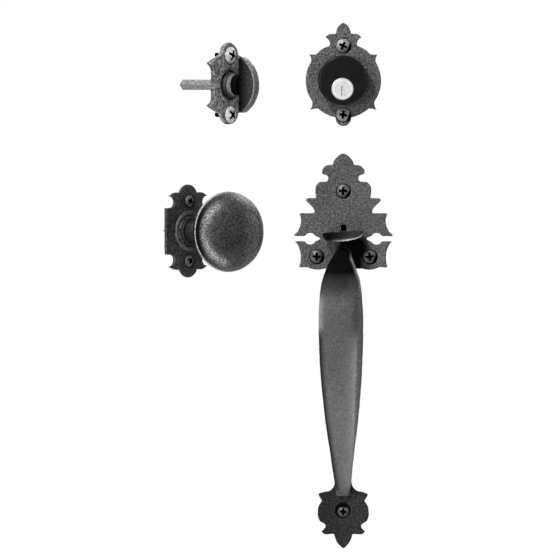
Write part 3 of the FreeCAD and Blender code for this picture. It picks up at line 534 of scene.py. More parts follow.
HANDLE_IRON = iron("handle_iron", 0.014, 0.084)
LEVER_IRON = iron("lever_iron", 0.004, 0.035, painted_highlight=0.5)
BOLT_IRON = iron("bolt_iron", 0.014, 0.094, edge=0.2)
# the same black iron made lighter: painted light on the turn plate
TURN_IRON = iron("turn_iron", 0.015, 0.3, grain=2.4, edge=0.6, specks=0.9)
# the same black iron made darker: painted shade on the paddle
PADDLE_IRON = iron("paddle_iron", 0.003, 0.02, grain=2.2, lumps=3.0, edge=0.2, painted_highlight=0.2)
# the same black iron made darker: painted shade on the rose
ROSE_IRON = iron("rose_iron", 0.003, 0.05, grain=2.4)
BASE_IRON = iron("base_iron", 0.004, 0.015, edge=0.45, grain_depth=0.06, lump_depth=0.05, specks=0.1)
KNOB_IRON = iron(
    "knob_iron", 0.002, 0.06, grain_depth=1.0, lumps=3.0, rough=(0.36, 0.46), specks=0.4, painted_highlight=0.45, sand=0.2
)
COLLAR_BLACK = gloss_black("collar_black")
NICKEL = satin("cylinder_nickel", 0.32, 0.56, 0.5)
PLUG_NICKEL = satin("plug_nickel", 0.28, 0.52, 0.5)
BUSHING = satin("bushing_steel", 0.015, 0.05, 0.4, metal=0.4)
BAR = satin("bar_steel", 0.08, 0.38, 0.42, stretch=(1, 0.12, 1), size=1.4, depth=0.2)
STEEL = satin("plain_steel", 0.4, 0.55, 0.35)
DARK_SCREW = satin("dark_screw", 0.015, 0.08, 0.4, size=1.6, depth=0.4, metal=0.3, deep=0.002)
GREY_SCREW = satin("grey_screw", 0.05, 0.26, 0.45, size=1.4, depth=0.4, metal=0.4, deep=0.002)
BRIGHT_SCREW = satin("bright_screw", 0.2, 0.7, 0.5, size=1.6, depth=0.4, metal=0.3, deep=0.004)
ROSE_SCREW = satin("rose_screw", 0.015, 0.1, 0.4, size=1.6, depth=0.4, metal=0.3, deep=0.002)


# Screws
def screw_mesh(head, rise, seat, length, reach, clock, dusk, point):
    """An oval-head cross-recess screw along y, its head's under face at 0; dusk is the angle of the head's
    side with painted shade.
    """
    ball = (head * head + rise * rise) / (2 * rise)
    half = math.asin(min(1, head / ball)) / 2
    middle = (-rise + ball - ball * math.cos(half), ball * math.sin(half))
    crown = [(-rise, 0.0), (-0.25, head - 0.02, *middle), (0.0, head - 0.25), (0.0, head - 0.6)]
    cap = lathe(crown + [(seat, SHANK), (seat, 0.0)], count=64, step=0.45)
    cap = smooth_shaded(cut(cap, cross_cutter(rise, reach)), 35)
    shaft = smooth_shaded(thread(seat - 0.1, seat + length, point), 60)
    mesh = joined([cap, shaft])
    centres = np.empty(len(mesh.polygons) * 3)
    mesh.polygons.foreach_get("center", centres)
    x, y, z = centres.reshape(-1, 3).T / MM
    away = np.sqrt(x**2 + (y + rise - ball) ** 2 + z**2)
    inside = (away < ball - 0.12) & (y < 0.02) & (np.hypot(x, z) < head - 1.0)
    a = math.radians((dusk or 0) + clock)
    side = x * math.cos(a) + z * math.sin(a)
    lee = ramp(side, 0.62 * head, 0.8 * head) * (y < 0.02) * (dusk is not None)
    # painted shade: 1 in the cross recess and on the thread, rising towards the head's shaded side
    layer = mesh.attributes.new("shade", "FLOAT", "FACE")
    layer.data.foreach_set("value", np.where(inside | (y > 0.02), 1.0, lee).astype(np.float32))
    mesh.transform(Matrix.Rotation(math.radians(clock), 4, "Y"))
    return mesh


def cross_cutter(rise, reach, half=1.15):
    """A cross that narrows towards its foot, standing in the head's crown."""
    work = bmesh.new()
    corners = []
    for k in range(4):
        a = math.radians(90 * k)
        for u, v in ((half, half), (reach, half * 0.85), (reach, -half * 0.85)):
            corners.append((u * math.cos(a) - v * math.sin(a), u * math.sin(a) + v * math.cos(a)))
    corners = sorted(corners, key=lambda c: math.atan2(c[1], c[0]))
    rings = []
    for y, share in ((-rise - 1.0, 1.2), (-0.2, 0.85)):
        rings.append([work.verts.new((u * share * MM, y * MM, v * share * MM)) for u, v in corners])
    skin(work, rings)
    return mesh_of(work, "cross")


def thread(start, end, point, pitch=1.9, deep=0.62, around=24, per_turn=8):
    """A threaded shank from start to end along y, tapered over its point."""
    work = bmesh.new()
    steps = max(8, int((end - start) / pitch * per_turn))
    rows = []
    for k in range(steps + 1):
        y = start + (end - start) * k / steps
        threaded = min(1.0, max(0.0, (y - start - 4.0) / 2.0))
        row = []
        for j in range(around):
            a = math.tau * j / around
            phase = ((y - start) / pitch - j / around) % 1.0
            crest = max(0.0, 1 - abs(phase - 0.5) * 4.4)
            r = SHANK - deep * (1 - crest) * threaded
            if y > end - point:
                r *= max(0.06, (end - y) / point) ** 0.8
            row.append(work.verts.new((r * MM * math.sin(a), y * MM, r * MM * math.cos(a))))
        rows.append(row)
    skin(work, rows)
    return mesh_of(work, "thread")


def screws(name, place, spots, length, material, point=6.0):
    """A group of screws at (x, z, seat height, head radius, rise, cross reach, clock, side with painted
    shade).
    """
    meshes = []
    for x, z, seat, head, rise, reach, clock, dusk in spots:
        mesh = screw_mesh(head, rise, seat, length, reach, clock, dusk, point)
        meshes.append(shifted(mesh, x, -seat, z))
    dress(name + "_cut", joined(meshes), place, material, "trim", name)


def screw_holes(spots):
    """The outlines of these screws' holes."""
    return [ring(SCREW_HOLE, x, z, 24) for x, z, *_ in spots]


def head_groove(x, z, seat, head, wide, deep=1.5):
    """The dark gap round a screw's head, sunk in a casting whose front is at y = -seat."""
    mouth, foot, inner = -seat - 1, -seat + deep, head - 0.9
    groove = lathe([(mouth, inner), (mouth, head + wide), (foot, head + wide * 0.6), (foot, inner)], 64)
    return shifted(groove, x=x + GROOVE_SHIFT, z=z - GROOVE_SHIFT)


def grooved(plate, spots, wide):
    """The plate with a gap sunk round each of these heads."""
    for x, z, seat, head, *_ in spots:
        plate = cut(plate, head_groove(x, z, seat, head, wide))
    return plate


def groove_painted_shade(spots):
    """Painted shade in the gaps round these heads."""

    def painted_shade(x, y, z):
        value = np.zeros(len(x))
        for u, v, seat, head, *_ in spots:
            out = np.hypot(x - u - GROOVE_SHIFT, z - v + GROOVE_SHIFT)
            value = np.maximum(value, (np.abs(out - head - 0.3) < 1.0) * (y > 0.35 - seat))
        return value

    return painted_shade


# Handle
TOP_HALF = [
    (0, 74.0),
    (9.7, 63.4, 6.4, 70.0),
    (19.1, 58.5, 15.8, 62.6),
    (16.4, 54.6, 18.9, 56.0),
    (13.5, 52.4, 14.4, 53.9),
    (15.5, 48.5, 13.6, 50.3),
    (20.6, 48.5),
    (25.1, 41.1, 24.0, 45.6),
    (23.9, 33.8, 25.0, 37.2),
    (31.0, 33.8),
    (33.8, 31.5, 33.1, 33.2),
    (28.6, 26.4),
    (26.0, 20.3, 26.4, 23.4),
    (38.6, 20.3),
    (39.6, 19.3, 39.4, 20.1),
    (40.1, 5.9, 38.1, 13.0),
    (44.4, 1.2, 41.9, 3.0),
    (44.4, -0.5),
    (34.59, -0.5),
    (25.21, -0.5, 29.9, 2.45),
    (20.3, -2.75, 22.9, -1.35),
    (25.21, -5.0, 22.9, -4.15),
    (34.59, -5.0, 29.9, -7.95),
    (44.4, -5.0),
    (40.9, -8.6, 42.4, -6.7),
    (40.2, -28.8, 38.3, -19.4),
    (32.7, -28.3),
    (17.0, -29.5, 24.0, -30.7),
    (0, -30.4),
]
LOW_HALF = [
    (0, -216.0),
    (7.6, -223.0, 6.3, -218.4),
    (13.2, -230.0, 8.6, -225.8),
    (22.3, -232.4, 17.8, -230.8),
    (18.8, -238.8, 20.9, -235.8),
    (22.9, -247.9, 22.0, -243.0),
    (20.4, -257.8, 22.7, -253.4),
    (15.8, -261.2, 17.4, -259.2),
    (19.9, -265.7, 17.5, -264.1),
    (14.3, -268.9, 17.8, -268.3),
    (8.2, -268.4),
    (0, -281.8, 5.4, -276.2),
]
TOP_SCREWS = [
    (0, 40.3, PLATE, 5.9, 2.6, 3.8, 2, -35),
    (23.9, -18.8, PLATE, 5.9, 2.6, 3.7, -6, -20),
    (-23.9, -18.8, PLATE, 5.9, 2.6, 3.8, 4, -15),
]
FOOT_SCREW = (0, -248.4, 2.0, 5.0, 2.6, 3.2, 3, 90)
# grip stations: y, z, lean in degrees, width, depth
GRIP = [
    (-3.0, -17.0, -90, 21.0, 17.5),
    (-7.2, -17.0, -90, 15.4, 13.4),
    (-14.1, -17.4, -86, 14.8, 12.1),
    (-24.0, -20.0, -68, 18.2, 11.5),
    (-34.4, -27.0, -46, 25.0, 11.1),
    (-42.0, -40.0, -19, 34.3, 10.7),
    (-45.0, -57.0, -3, 38.7, 10.5),
    (-44.7, -78.0, 3, 40.3, 10.5),
    (-40.4, -118.0, 9, 37.9, 10.5),
    (-31.5, -158.0, 14, 31.3, 10.1),
    (-20.0, -198.0, 17.5, 21.0, 8.9),
    (-9.2, -223.0, 18, 14.8, 6.5),
    (-5.5, -234.0, 13, 11.4, 4.6),
]


def spline_rows(rows, per_span):
    """Rows of numbers filled in by a curve through them all."""
    data = np.array(rows, float)
    ends = np.vstack([2 * data[0] - data[1], data, 2 * data[-1] - data[-2]])
    made = []
    for k in range(1, len(ends) - 2):
        p0, p1, p2, p3 = ends[k - 1 : k + 3]
        square = 2 * p0 - 5 * p1 + 4 * p2 - p3
        cube = 3 * p1 - p0 - 3 * p2 + p3
        for j in range(per_span):
            s = j / per_span
            made.append(0.5 * (2 * p1 + (p2 - p0) * s + square * s**2 + cube * s**3))
    made.append(data[-1])
    return made


def grip_section(w, d):
    """The strap's section: crowned front and back, rounded sides."""
    front = w - 0.3 * d
    corners = [(-front, -0.62 * d), (front, -0.62 * d), (front * 0.93, 0.62 * d), (-front * 0.93, 0.62 * d)]
    vias = [(0, -d), (w, -0.02 * d), (0, d), (-w, -0.02 * d)]
    section = []
    for k, count in enumerate((18, 8, 18, 8)):
        section += along(circle_through(corners[k], vias[k], corners[(k + 1) % 4]), count)
    return section


def grip_shell():
    """The grip's skin: a strap swept along its stations."""
    work = bmesh.new()
    rows = []
    for y, z, lean, wide, deep in spline_rows(GRIP, 12):
        a = math.radians(lean)
        row = []
        for u, v in grip_section(wide / 2, deep / 2):
            row.append(work.verts.new(Vector((u, y + v * math.cos(a), z + v * math.sin(a))) * MM))
        rows.append(row)
    skin(work, rows)
    return mesh_of(work, "grip")


def grip_half(z):
    """Half the grip's width below its root."""
    _, heights, _, widths, _ = zip(*GRIP[:2:-1])
    return np.interp(z, heights, widths) / 2


def handle_painted_shade(x, y, z):
    """Painted shade round the grip's root with its painted shadow to the right, on the grip's bend, down its
    left side and in a band on its right, in the foot screw's recess and where the grip meets the foot plate;
    the foot plate darker.
    """
    half = grip_half(z)
    plate = ramp(y, -6.5, -5)
    foot = (0.67 + 0.1 * ramp(x, 4, -16)) * ramp(z, -221, -226) * plate
    corners = 0.9 * ramp(z, -236, -228) * ramp(z, -221, -224) * ramp(np.abs(x), 10.5, 7.5) * plate
    well = 0.97 * (np.hypot(x + 0.3, z + 247.2) < 7.3) * (y < 0)
    right = np.maximum(ramp(half - x, 2.6, 0.8), 0.25 * ramp(half - x, 15, 3) * ramp(z, -32, -40))
    bend = np.interp(z, [-60, -54, -46, -38, -32], [0, 0.2, 0.66, 0.84, 0.985]) * (1 - right)
    left = 0.92 * ramp(x + half, 6.2, 0.8) ** 1.3 * ramp(z, -80, -94)
    shade = 0.42 * np.exp(-(((x - 14.0) / 3.4) ** 2)) * ramp(z, -46, -54) * ramp(z, -90, -80)
    below = ramp(x, 20, 15) * ramp(x, 3, 7) * ramp(z, -11, -15) * ramp(z, -60, -55)
    root = np.maximum(ramp(np.hypot((x - 8.5) / 14, (z + 12) / 12), 1.22, 0.82), below)
    root = 0.98 * root * ramp(y, -8, -6)
    grip = ramp(y, -8, -10) * np.maximum.reduce([bend, left, shade])
    return np.maximum.reduce([foot, corners, well, root, grip])


def handle_painted_highlight(x, y, z):
    """Painted highlights on the grip's left shoulder, its right arris and top right edge and down its lower
    part; the upper plate painted paler to the right.
    """
    grip = ramp(y, -8, -11)
    half = grip_half(z)
    shoulder = 0.62 * ramp(x + half, 7.0, 1.0) ** 1.5 * ramp(z, -50, -58) * ramp(z, -88, -80)
    heights = [-215, -200, -180, -160, -140, -120, -105, -90]
    off = x - np.interp(z, heights, [6.6, 8.6, 9.9, 10.8, 11.5, 12.4, 13.0, 13.0])
    arris = 0.56 * np.where(off < 0, np.exp(off / 5.0), np.exp(-((off / 1.6) ** 2))) * ramp(z, -84, -110)
    lower = 0.04 + 0.12 * ramp(z, -110, -160) * ramp(z, -226, -214)
    edge = 0.55 * ramp(half - x, 2.4, 0.6) * ramp(z, -58, -48)
    plate = 0.06 * ramp(x, 5, 38) * ramp(z, -60, -50)
    return np.maximum(grip * np.maximum.reduce([shoulder, arris + lower, edge]), (1 - grip) * plate)


def handle_calm(x, y, z):
    """The grip is smoother than the plates."""
    return 0.62 * ramp(y, -7, -10)


def make_handle():
    slot = trace([(-2.9, -3.9), (2.9, -3.9), (2.9, 7.3), (-2.9, 7.3, 0, 10.2)], 0.5)
    top = slab([both_sides(TOP_HALF), slot] + screw_holes(TOP_SCREWS), 0, -PLATE)
    top = grooved(top, TOP_SCREWS, 1.0)
    low = slab([both_sides(LOW_HALF)] + screw_holes([FOOT_SCREW]), 0, -PLATE)
    recess = lathe([(-4.6, 0), (-4.6, 7.9), (-2.0, 5.7), (-2.0, 0)], 64)
    low = cut(low, shifted(recess, z=FOOT_SCREW[1]))
    ear_loop = trace([(-1.0, -2.3), (6.0, -2.3), (6.0, 7.7, 11.0, 2.7), (-1.0, 7.7)], 0.6)
    ears = [shifted(side_slab(ear_loop, 1.6, 0.3), x=middle) for middle in (4.7, -4.7)]
    mesh = recast(joined([top, low, grip_shell()] + ears), 0.67)
    rough_up(mesh, [(9, 0.22), (3.2, 0.1)], 1)
    mark_wear(mesh)
    mark_tone(mesh, either(handle_painted_shade, groove_painted_shade(TOP_SCREWS)), handle_painted_highlight, handle_calm)
    dress("grip_casting", mesh, HANDLE, HANDLE_IRON, "trim", "grip_handle")


def pad_painted_highlight(x, y, z):
    """Painted highlight on the pad's right lower rim, and its right half painted paler."""
    rim = ramp(np.hypot(x, y + 16.1), 16.2, 17.2) * ramp(z - 0.07 * x, 2.7, 1.9) * ramp(x, -12, 6)
    return ramp(y, -9, -12) * np.maximum(rim, 0.04 * ramp(x, -4, 8))


def lever_painted_shade(x, y, z):
    """Painted shade where the blade leaves its slot, and on the pad, deeper to the left, but for its
    highlighted rim.
    """
    blade = ramp(y, -11, -9) * ramp(z, 3.4, 4.2)
    pad = (0.6 + 0.35 * ramp(x, 2, -12)) * ramp(y, -9, -12) * (1 - pad_painted_highlight(x, y, z))
    return np.maximum(blade, pad)


def make_lever():
    blade = side_slab(
        trace(
            [
                (-22.6, 1.2),
                (-11.6, -4.0, -18.6, -1.4),
                (-5.1, -4.0),
                (-5.1, -9.0),
                (1.0, -9.0),
                (6.0, -4.0, 4.2, -7.6),
                (38.0, 1.5, 23.0, -2.2),
                (38.0, 5.5, 40.0, 3.5),
                (4.0, 4.0, 22.0, 3.0),
                (-1.2, 7.5),
                (-7.0, 9.0),
                (-7.7, 4.0),
                (-22.6, 4.0),
            ]
        ),
        2.7,
        0.4,
    )
    pad_loop = both_sides(
        [(0, -10.6), (14.9, -10.6), (17.9, -13.6, 17.0, -11.5), (17.9, -16.1), (0, -34.0, 12.66, -28.76)], 0.5
    )
    pad = slab([pad_loop], 0.6, 4.0, 0.9, upright=False)
    pad.transform(Matrix.Rotation(math.radians(-PAD_ROLL), 4, "Y"))
    mesh = recast(joined([blade, pad]), 0.36)
    # the pad's shallow dish
    co, normals, _ = arrays(mesh)
    away = np.hypot(co[:, 0], co[:, 1] + 23.0 * MM) / (14.2 * MM)
    top = (normals[:, 2] > 0.5) & (co[:, 1] < -9 * MM)
    co[:, 2] -= np.where(top, np.clip(1 - away**3, 0, 1) * 1.7 * MM, 0)
    move_skin(mesh, co)
    rough_up(mesh, [(6, 0.16), (2.4, 0.08)], 2)
    mark_wear(mesh)
    mark_tone(mesh, lever_painted_shade, pad_painted_highlight)
    dress("thumb_piece", mesh, LEVER, LEVER_IRON, "lever", "thumb_lever")


# Deadbolt
BOLT_HALF = [
    (0, 51.8),
    (6.6, 42.1, 4.7, 48.2),
    (11.4, 41.7),
    (16.2, 38.3, 14.2, 40.6),
    (12.6, 34.8, 14.0, 37.0),
    (13.0, 30.6, 12.1, 32.6),
    (24.2, 23.3, 19.3, 27.8),
    (30.9, 23.2),
    (28.9, 16.7, 29.2, 20.0),
    (28.0, -19.0, 33.9, -1.4),
    (30.4, -27.2, 28.4, -23.3),
    (22.6, -25.6, 26.4, -25.8),
    (6.9, -33.5, 15.2, -30.6),
    (0, -41.2, 5.2, -38.9),
]


BOLT_SCREWS = [(0, 31, PLATE, 6.3, 2.6, 3.9, 25, -20), (0, -31, PLATE, 6.3, 2.6, 3.7, 8, -20)]
KEYWAY = [
    (-0.95, -7.4),
    (0.95, -7.4),
    (0.95, -3.6),
    (1.65, -3.6),
    (1.65, -1.9),
    (0.95, -1.9),
    (0.95, 1.65),
    (-0.95, 1.65, 0, 2.6),
    (-0.95, -0.4),
    (-1.55, -0.4),
    (-1.55, -1.7),
    (-0.95, -1.7),
]


def make_bolt_plate():
    plate = slab([both_sides(BOLT_HALF), ring(18.65, count=96)] + screw_holes(BOLT_SCREWS), 0, -PLATE)
    mesh = recast(grooved(plate, BOLT_SCREWS, 0.7), 0.42)
    rough_up(mesh, [(8, 0.2), (3, 0.1)], 3)
    mark_wear(mesh)
    mark_tone(mesh, groove_painted_shade(BOLT_SCREWS))
    dress("deadbolt_casting", mesh, BOLT, BOLT_IRON, "trim", "deadbolt_plate")


def make_collar():
    collar = lathe(
        [
            (-17.6, 0),
            (-17.6, 19.9),
            (-15.2, 22.3, -16.9, 21.6),
            (-4.2, 22.3),
            (-3.6, 22.0),
            (-3.6, 18.6),
            (3.0, 18.6),
            (3.0, 17.9),
            (-14.1, 17.9),
            (-14.1, 0),
        ],
        count=128,
    )
    hole = lathe([(-19, 0), (-19, 10.25), (-17.6, 10.25), (-17.2, 9.93), (-13, 9.93), (-13, 0)])
    collar = smooth_shaded(cut(collar, shifted(hole, z=-NOSE_DROP)), 35)
    dress("collar_turned", collar, BOLT, COLLAR_BLACK, "trim", "cylinder_collar")


def make_cylinder():
    drum = lathe([(-14.1, 0), (-14.1, 17.87), (13.5, 17.87), (14.0, 17.4), (14.0, 0)], count=128)
    nose = lathe([(-10, 0), (-10, 9.9), (-17.6, 9.9), (-18.4, 9.1), (-18.4, 0)], count=128)
    bore = lathe([(-20, 0), (-20, 6.43), (16, 6.43), (16, 0)])
    shifted(nose, z=-NOSE_DROP)
    shifted(bore, z=-NOSE_DROP)
    body = smooth_shaded(joined([cut(nose, bore.copy()), cut(drum, bore)]), 35)
    dress("cylinder_housing", body, BOLT, NICKEL, "trim", "cylinder_body")


def make_plug():
    plug = lathe(
        [
            (-18.4, 0),
            (-18.4, 6.3),
            (-18.35, 6.35),
            (14.15, 6.35),
            (14.15, 4.6),
            (17.55, 4.6),
            (17.55, 0),
        ]
    )
    plug = cut(plug, slab([trace(KEYWAY, 0.4)], -17.2, -20, SHARP))
    tail_slot = [(-0.83, -8), (0.83, -8), (0.83, 8), (-0.83, 8)]
    plug = cut(plug, slab([tail_slot], 19, 14.15, SHARP))
    dress("plug_turned", smooth_shaded(plug, 35), PLUG, PLUG_NICKEL, "plug", "key_plug")


# Turn piece
TURN_HALF = [
    (0, 38.0),
    (12.2, 27.0, 8.6, 33.8),
    (27.6, 20.6, 19.5, 24.2),
    (28.0, 18.4, 29.0, 19.4),
    (23.1, 12.6, 25.5, 16.6),
    (23.1, -13.0),
    (28.0, -17.4, 25.5, -16.0),
    (27.6, -19.6, 29.0, -18.4),
    (12.2, -26.0, 19.5, -23.2),
    (0, -35.4, 8.6, -32.0),
]


TURN_SCREWS = [
    (0, 26.8, TURN_THICK, 7.6, 3.6, 4.8, 20, None),
    (0, -26.8, TURN_THICK, 7.6, 3.6, 4.8, 42, None),
]


def square_bar(side, front, end, chamfer):
    """A square bar standing on one corner, along y."""
    half = side / 2
    loop = [(half, -half), (half, half), (-half, half), (-half, -half)]
    mesh = slab([loop], end, front, chamfer)
    mesh.transform(Matrix.Rotation(math.radians(45), 4, "Y"))
    return smooth_shaded(mesh, 30)


def turn_painted_shade(x, y, z):
    """Painted shade round the hub and along the plate's left edge, and the paddle's painted shadow beside it.
    """
    hub = 0.9 * ramp(np.hypot(x, z), 16, 12.6)
    left = 0.6 * ramp(x, -20, -21.5) * ramp(y, -3.9, -3.5)
    beside = 0.6 * ramp(x, 3, 13) * ramp(np.abs(z), 24, 19)
    return np.maximum.reduce([hub, left, beside])


def make_turn_plate():
    plate = slab([both_sides(TURN_HALF), ring(12.85, count=80)] + screw_holes(TURN_SCREWS), 0, -TURN_THICK)
    mesh = recast(grooved(plate, TURN_SCREWS, 0.6), 0.4)
    rough_up(mesh, [(7, 0.24), (2.6, 0.12)], 4)
    mark_wear(mesh)
    mark_tone(mesh, either(groove_painted_shade(TURN_SCREWS), turn_painted_shade))
    dress("turn_casting", mesh, TURN, TURN_IRON, "trim", "turn_plate")


def make_turn_bushing():
    bushing = lathe(
        [
            (-6.8, 6.58),
            (-6.8, 10.3),
            (-6.1, 11.0, -6.6, 10.8),
            (-1.2, 11.0),
            (-1.2, 12.77),
            (0, 12.77),
            (0, 15.5),
            (1.3, 15.5),
            (1.6, 15.2),
            (1.6, 6.58),
        ]
    )
    bushing = smooth_shaded(bushing, 35)
    dress("bushing_turned", bushing, TURN, BUSHING, "trim", "turn_bushing")


def paddle_painted_shade(x, y, z):
    """Painted shade on the paddle's flat sides towards the hub, and in a line round the hub."""
    sides = 0.9 * ramp(y, -30, -19) * (y < -12.6) * ramp(np.abs(x), 2.5, 3.3)
    return sides + (y > -12.6) * (y < -12)


def hub_painted_highlight(x, y, z):
    """Painted highlight: the hub's round side paler."""
    return 0.5 * (y > -12.6) * (np.hypot(x, z) > 9.0)


def paddle_painted_highlight(x, y, z):
    """Painted highlights on the paddle's rounded edge and the bright line where its face meets it."""
    inside = 27.75 - np.hypot(y + 7.25, z)
    edge = 0.42 * ramp(inside, 1.2, 0.8)
    line = 0.7 * ramp(-x, 2.4, 3.2) * ramp(inside, 1.5, 0.9) * ramp(inside, 0.15, 0.45)
    return ramp(y, -18.5, -20) * np.maximum(edge, line)


def make_paddle():
    hub = lathe(
        [
            (-17.5, 0),
            (-17.5, 8.1),
            (-15.5, 9.7, -16.9, 9.2),
            (-6.95, 9.7),
            (-6.95, 6.5),
            (1.75, 6.5),
            (1.75, 5.5),
            (2.75, 5.5),
            (2.75, 6.5),
            (4.2, 6.5),
            (4.2, 0),
        ]
    )
    thumb_loop = trace(
        [
            (-16.5, -22.5),
            (-16.5, 22.5),
            (-19.5, 24.9, -17.2, 24.2),
            (-19.5, -24.9, -35.0, 0),
            (-16.5, -22.5, -17.2, -24.2),
        ]
    )
    solid = recast(joined([hub, side_slab(thumb_loop, 3.8, 0.9)]), 0.36, 2)
    mesh = smooth_shaded(cut(solid, square_bar(6.7, -14.15, 6, SHARP)), 60)
    rough_up(mesh, [(5, 0.22), (2.0, 0.12)], 5)
    mark_wear(mesh, gain=2.6)
    mark_tone(mesh, paddle_painted_shade, either(hub_painted_highlight, paddle_painted_highlight))
    dress("turn_thumb", mesh, TURN, PADDLE_IRON, "turn", "turn_paddle")


# Knob
ROSE_HALF = [
    (0, 41.9),
    (10.6, 34.4, 7.1, 39.3),
    (24.3, 31.0, 18.3, 34.3),
    (21.8, 21.0, 17.6, 26.5),
    (27.5, 21.0),
    (28.5, 20.0, 28.2, 20.7),
    (28.5, -20.0),
    (27.5, -21.0, 28.2, -20.7),
    (21.8, -21.0),
    (24.3, -31.0, 17.6, -26.5),
    (10.6, -34.4, 18.3, -34.3),
    (0, -41.9, 7.1, -39.3),
]


ROSE_SCREWS = [(0, 27, ROSE_THICK, 5.3, 2.6, 3.0, 15, -30), (0, -27, ROSE_THICK, 5.3, 2.6, 3.0, 37, -30)]


def rose_painted_shade(x, y, z):
    """Painted shade round the screws."""
    return 0.55 * np.exp(-((np.hypot(x, np.abs(z) - 26) / 9) ** 2))


def band_painted_highlight(x, y, z):
    """Painted highlight on the left side of the raised band."""
    return 0.3 * ramp(y, -3.6, -4.1) * ramp(x, 6, -6)


def make_rose():
    band = lathe([(-2.0, 14.0), (-4.1, 14.0), (-4.5, 14.5), (-4.5, 17.2), (-4.0, 17.8), (-2.0, 17.8)], 120)
    plate = slab([both_sides(ROSE_HALF), ring(11.55, count=80)] + screw_holes(ROSE_SCREWS), 0, -ROSE_THICK)
    mesh = recast(joined([grooved(plate, ROSE_SCREWS, 0.7), band]), 0.42)
    rough_up(mesh, [(6, 0.18), (2.2, 0.1)], 6)
    mark_wear(mesh)
    mark_tone(mesh, either(groove_painted_shade(ROSE_SCREWS), rose_painted_shade), band_painted_highlight)
    dress("rose_casting", mesh, KNOB, ROSE_IRON, "trim", "knob_plate")


def make_base_ring():
    base = lathe(
        [
            (-8.8, 7.58),
            (-8.8, 12.0),
            (-8.0, 13.0, -8.6, 12.7),
            (-3.3, 13.0),
            (-3.3, 11.47),
            (-0.15, 11.47),
            (-0.15, 7.58),
        ]
    )
    base = with_modifiers(base, ("SUBSURF", {"levels": 2, "subdivision_type": "SIMPLE"}))
    mark_wear(base, gain=1.5)
    dress("base_ring", smooth_shaded(base, 40), KNOB, BASE_IRON, "trim", "knob_bushing")


def knob_across(x, y, z):
    """Where a point lies on the knob as seen from the front, the side where its painted light and shade are
    laid.

    How far out (1 at the outline), how far left, how far up, and 1 where it is on that side.
    """
    u = (0.698 * x - 0.716 * y - 38.6) / 31.1
    up = z / 36.2
    near = ramp(-0.716 * x - 0.698 * y + 9.6 * up**2, 40.5, 43.5)
    return np.hypot(u, up), -u, up, near


def knob_painted_highlight(x, y, z):
    """Painted highlights: a band inside the outline, a bright line along it and a paler limb on the other
    side.
    """
    out, left, up, near = knob_across(x, y, z)
    outer = 0.5 + 0.5 * ramp(np.abs(up), 0.1, 0.4)
    band = 0.3 * np.exp(-(((out - 0.71) / 0.1) ** 2)) * ramp(left, 0.1, 0.4) * outer
    low = 0.3 * np.exp(-(((out - 0.74) / 0.12) ** 2)) * ramp(up, -0.35, -0.55) * ramp(left, -0.1, 0.15)
    rim = ramp(out, 0.958, 0.98) * (0.12 + 0.55 * ramp(left, 0.0, 0.5))
    limb = 0.1 * ramp(-left, 0.35, 0.75)
    return np.maximum.reduce([band, low, rim, limb]) * near


def knob_painted_shade(x, y, z):
    """Painted shade between the outline and the highlight band, in the middle, and on the neck."""
    out, left, _, near = knob_across(x, y, z)
    circlet = 0.96 * ramp(out, 0.79, 0.88) * ramp(out, 0.968, 0.95) * ramp(left, 0.1, 0.8)
    middle = 0.3 * ramp(out, 0.7, 0.4)
    return np.maximum(np.maximum(circlet, middle) * near, 0.88 * ramp(y, -28, -24))


def make_knob():
    mesh = lathe(
        [
            (-79.4, 0),
            (-79.4, 1.0),
            (-75.0, 18.7, -78.3, 9.4),
            (-53.0, 36.2, -66.7, 31.1),
            (-43.8, 33.6, -48.4, 35.6),
            (-24.5, 11.7, -33.2, 22.9),
            (-17.5, 10.5, -22.1, 10.7),
            (-8.95, 10.5),
            (-8.95, 7.5),
            (1.35, 7.5),
            (1.35, 6.5),
            (2.35, 6.5),
            (2.35, 7.5),
            (6.0, 7.5),
            (6.0, 0),
        ],
        count=300,
    )
    mesh = cut(mesh, square_bar(8.1, -20.15, 8, SHARP))
    dimple(mesh, 2.4, 0.22, 7, lambda y: ramp(-y, 22, 34))
    rough_up(mesh, [(14, 0.3), (4, 0.1)], 7)
    mark_wear(mesh, gain=1.6)
    mark_tone(mesh, knob_painted_shade, knob_painted_highlight)
    dress("knob_turned", smooth_shaded(mesh, 60), KNOB, KNOB_IRON, "knob_group", "knob")


# Hidden pieces that keep the solids' own shape
KEPT = {
    "thumb_pivot_pin": STEEL,
    "plug_cap": STEEL,
    "cylinder_tailpiece": STEEL,
    "turn_cross_pin": STEEL,
    "turn_retaining_ring": STEEL,
    "knob_spindle": BAR,
    "knob_set_screw": DARK_SCREW,
    "knob_washer": STEEL,
    "knob_retaining_ring": STEEL,
}


def finish_cad_nodes():
    for node, material in KEPT.items():
        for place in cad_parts[node].material_slots:
            place.material = material


# Stage: a pale floor that keeps the shadows and fades into a white room
def seen_ways(tree):
    """1 for the rays that show the room itself: straight, mirrored or through glass."""
    path = tree.nodes.new("ShaderNodeLightPath")
    first = tree.nodes.new("ShaderNodeMath")
    second = tree.nodes.new("ShaderNodeMath")
    first.operation = second.operation = "MAXIMUM"
    tree.links.new(path.outputs["Is Camera Ray"], first.inputs[0])
    tree.links.new(path.outputs["Is Glossy Ray"], first.inputs[1])
    tree.links.new(first.outputs["Value"], second.inputs[0])
    tree.links.new(path.outputs["Is Transmission Ray"], second.inputs[1])
    return second.outputs["Value"]


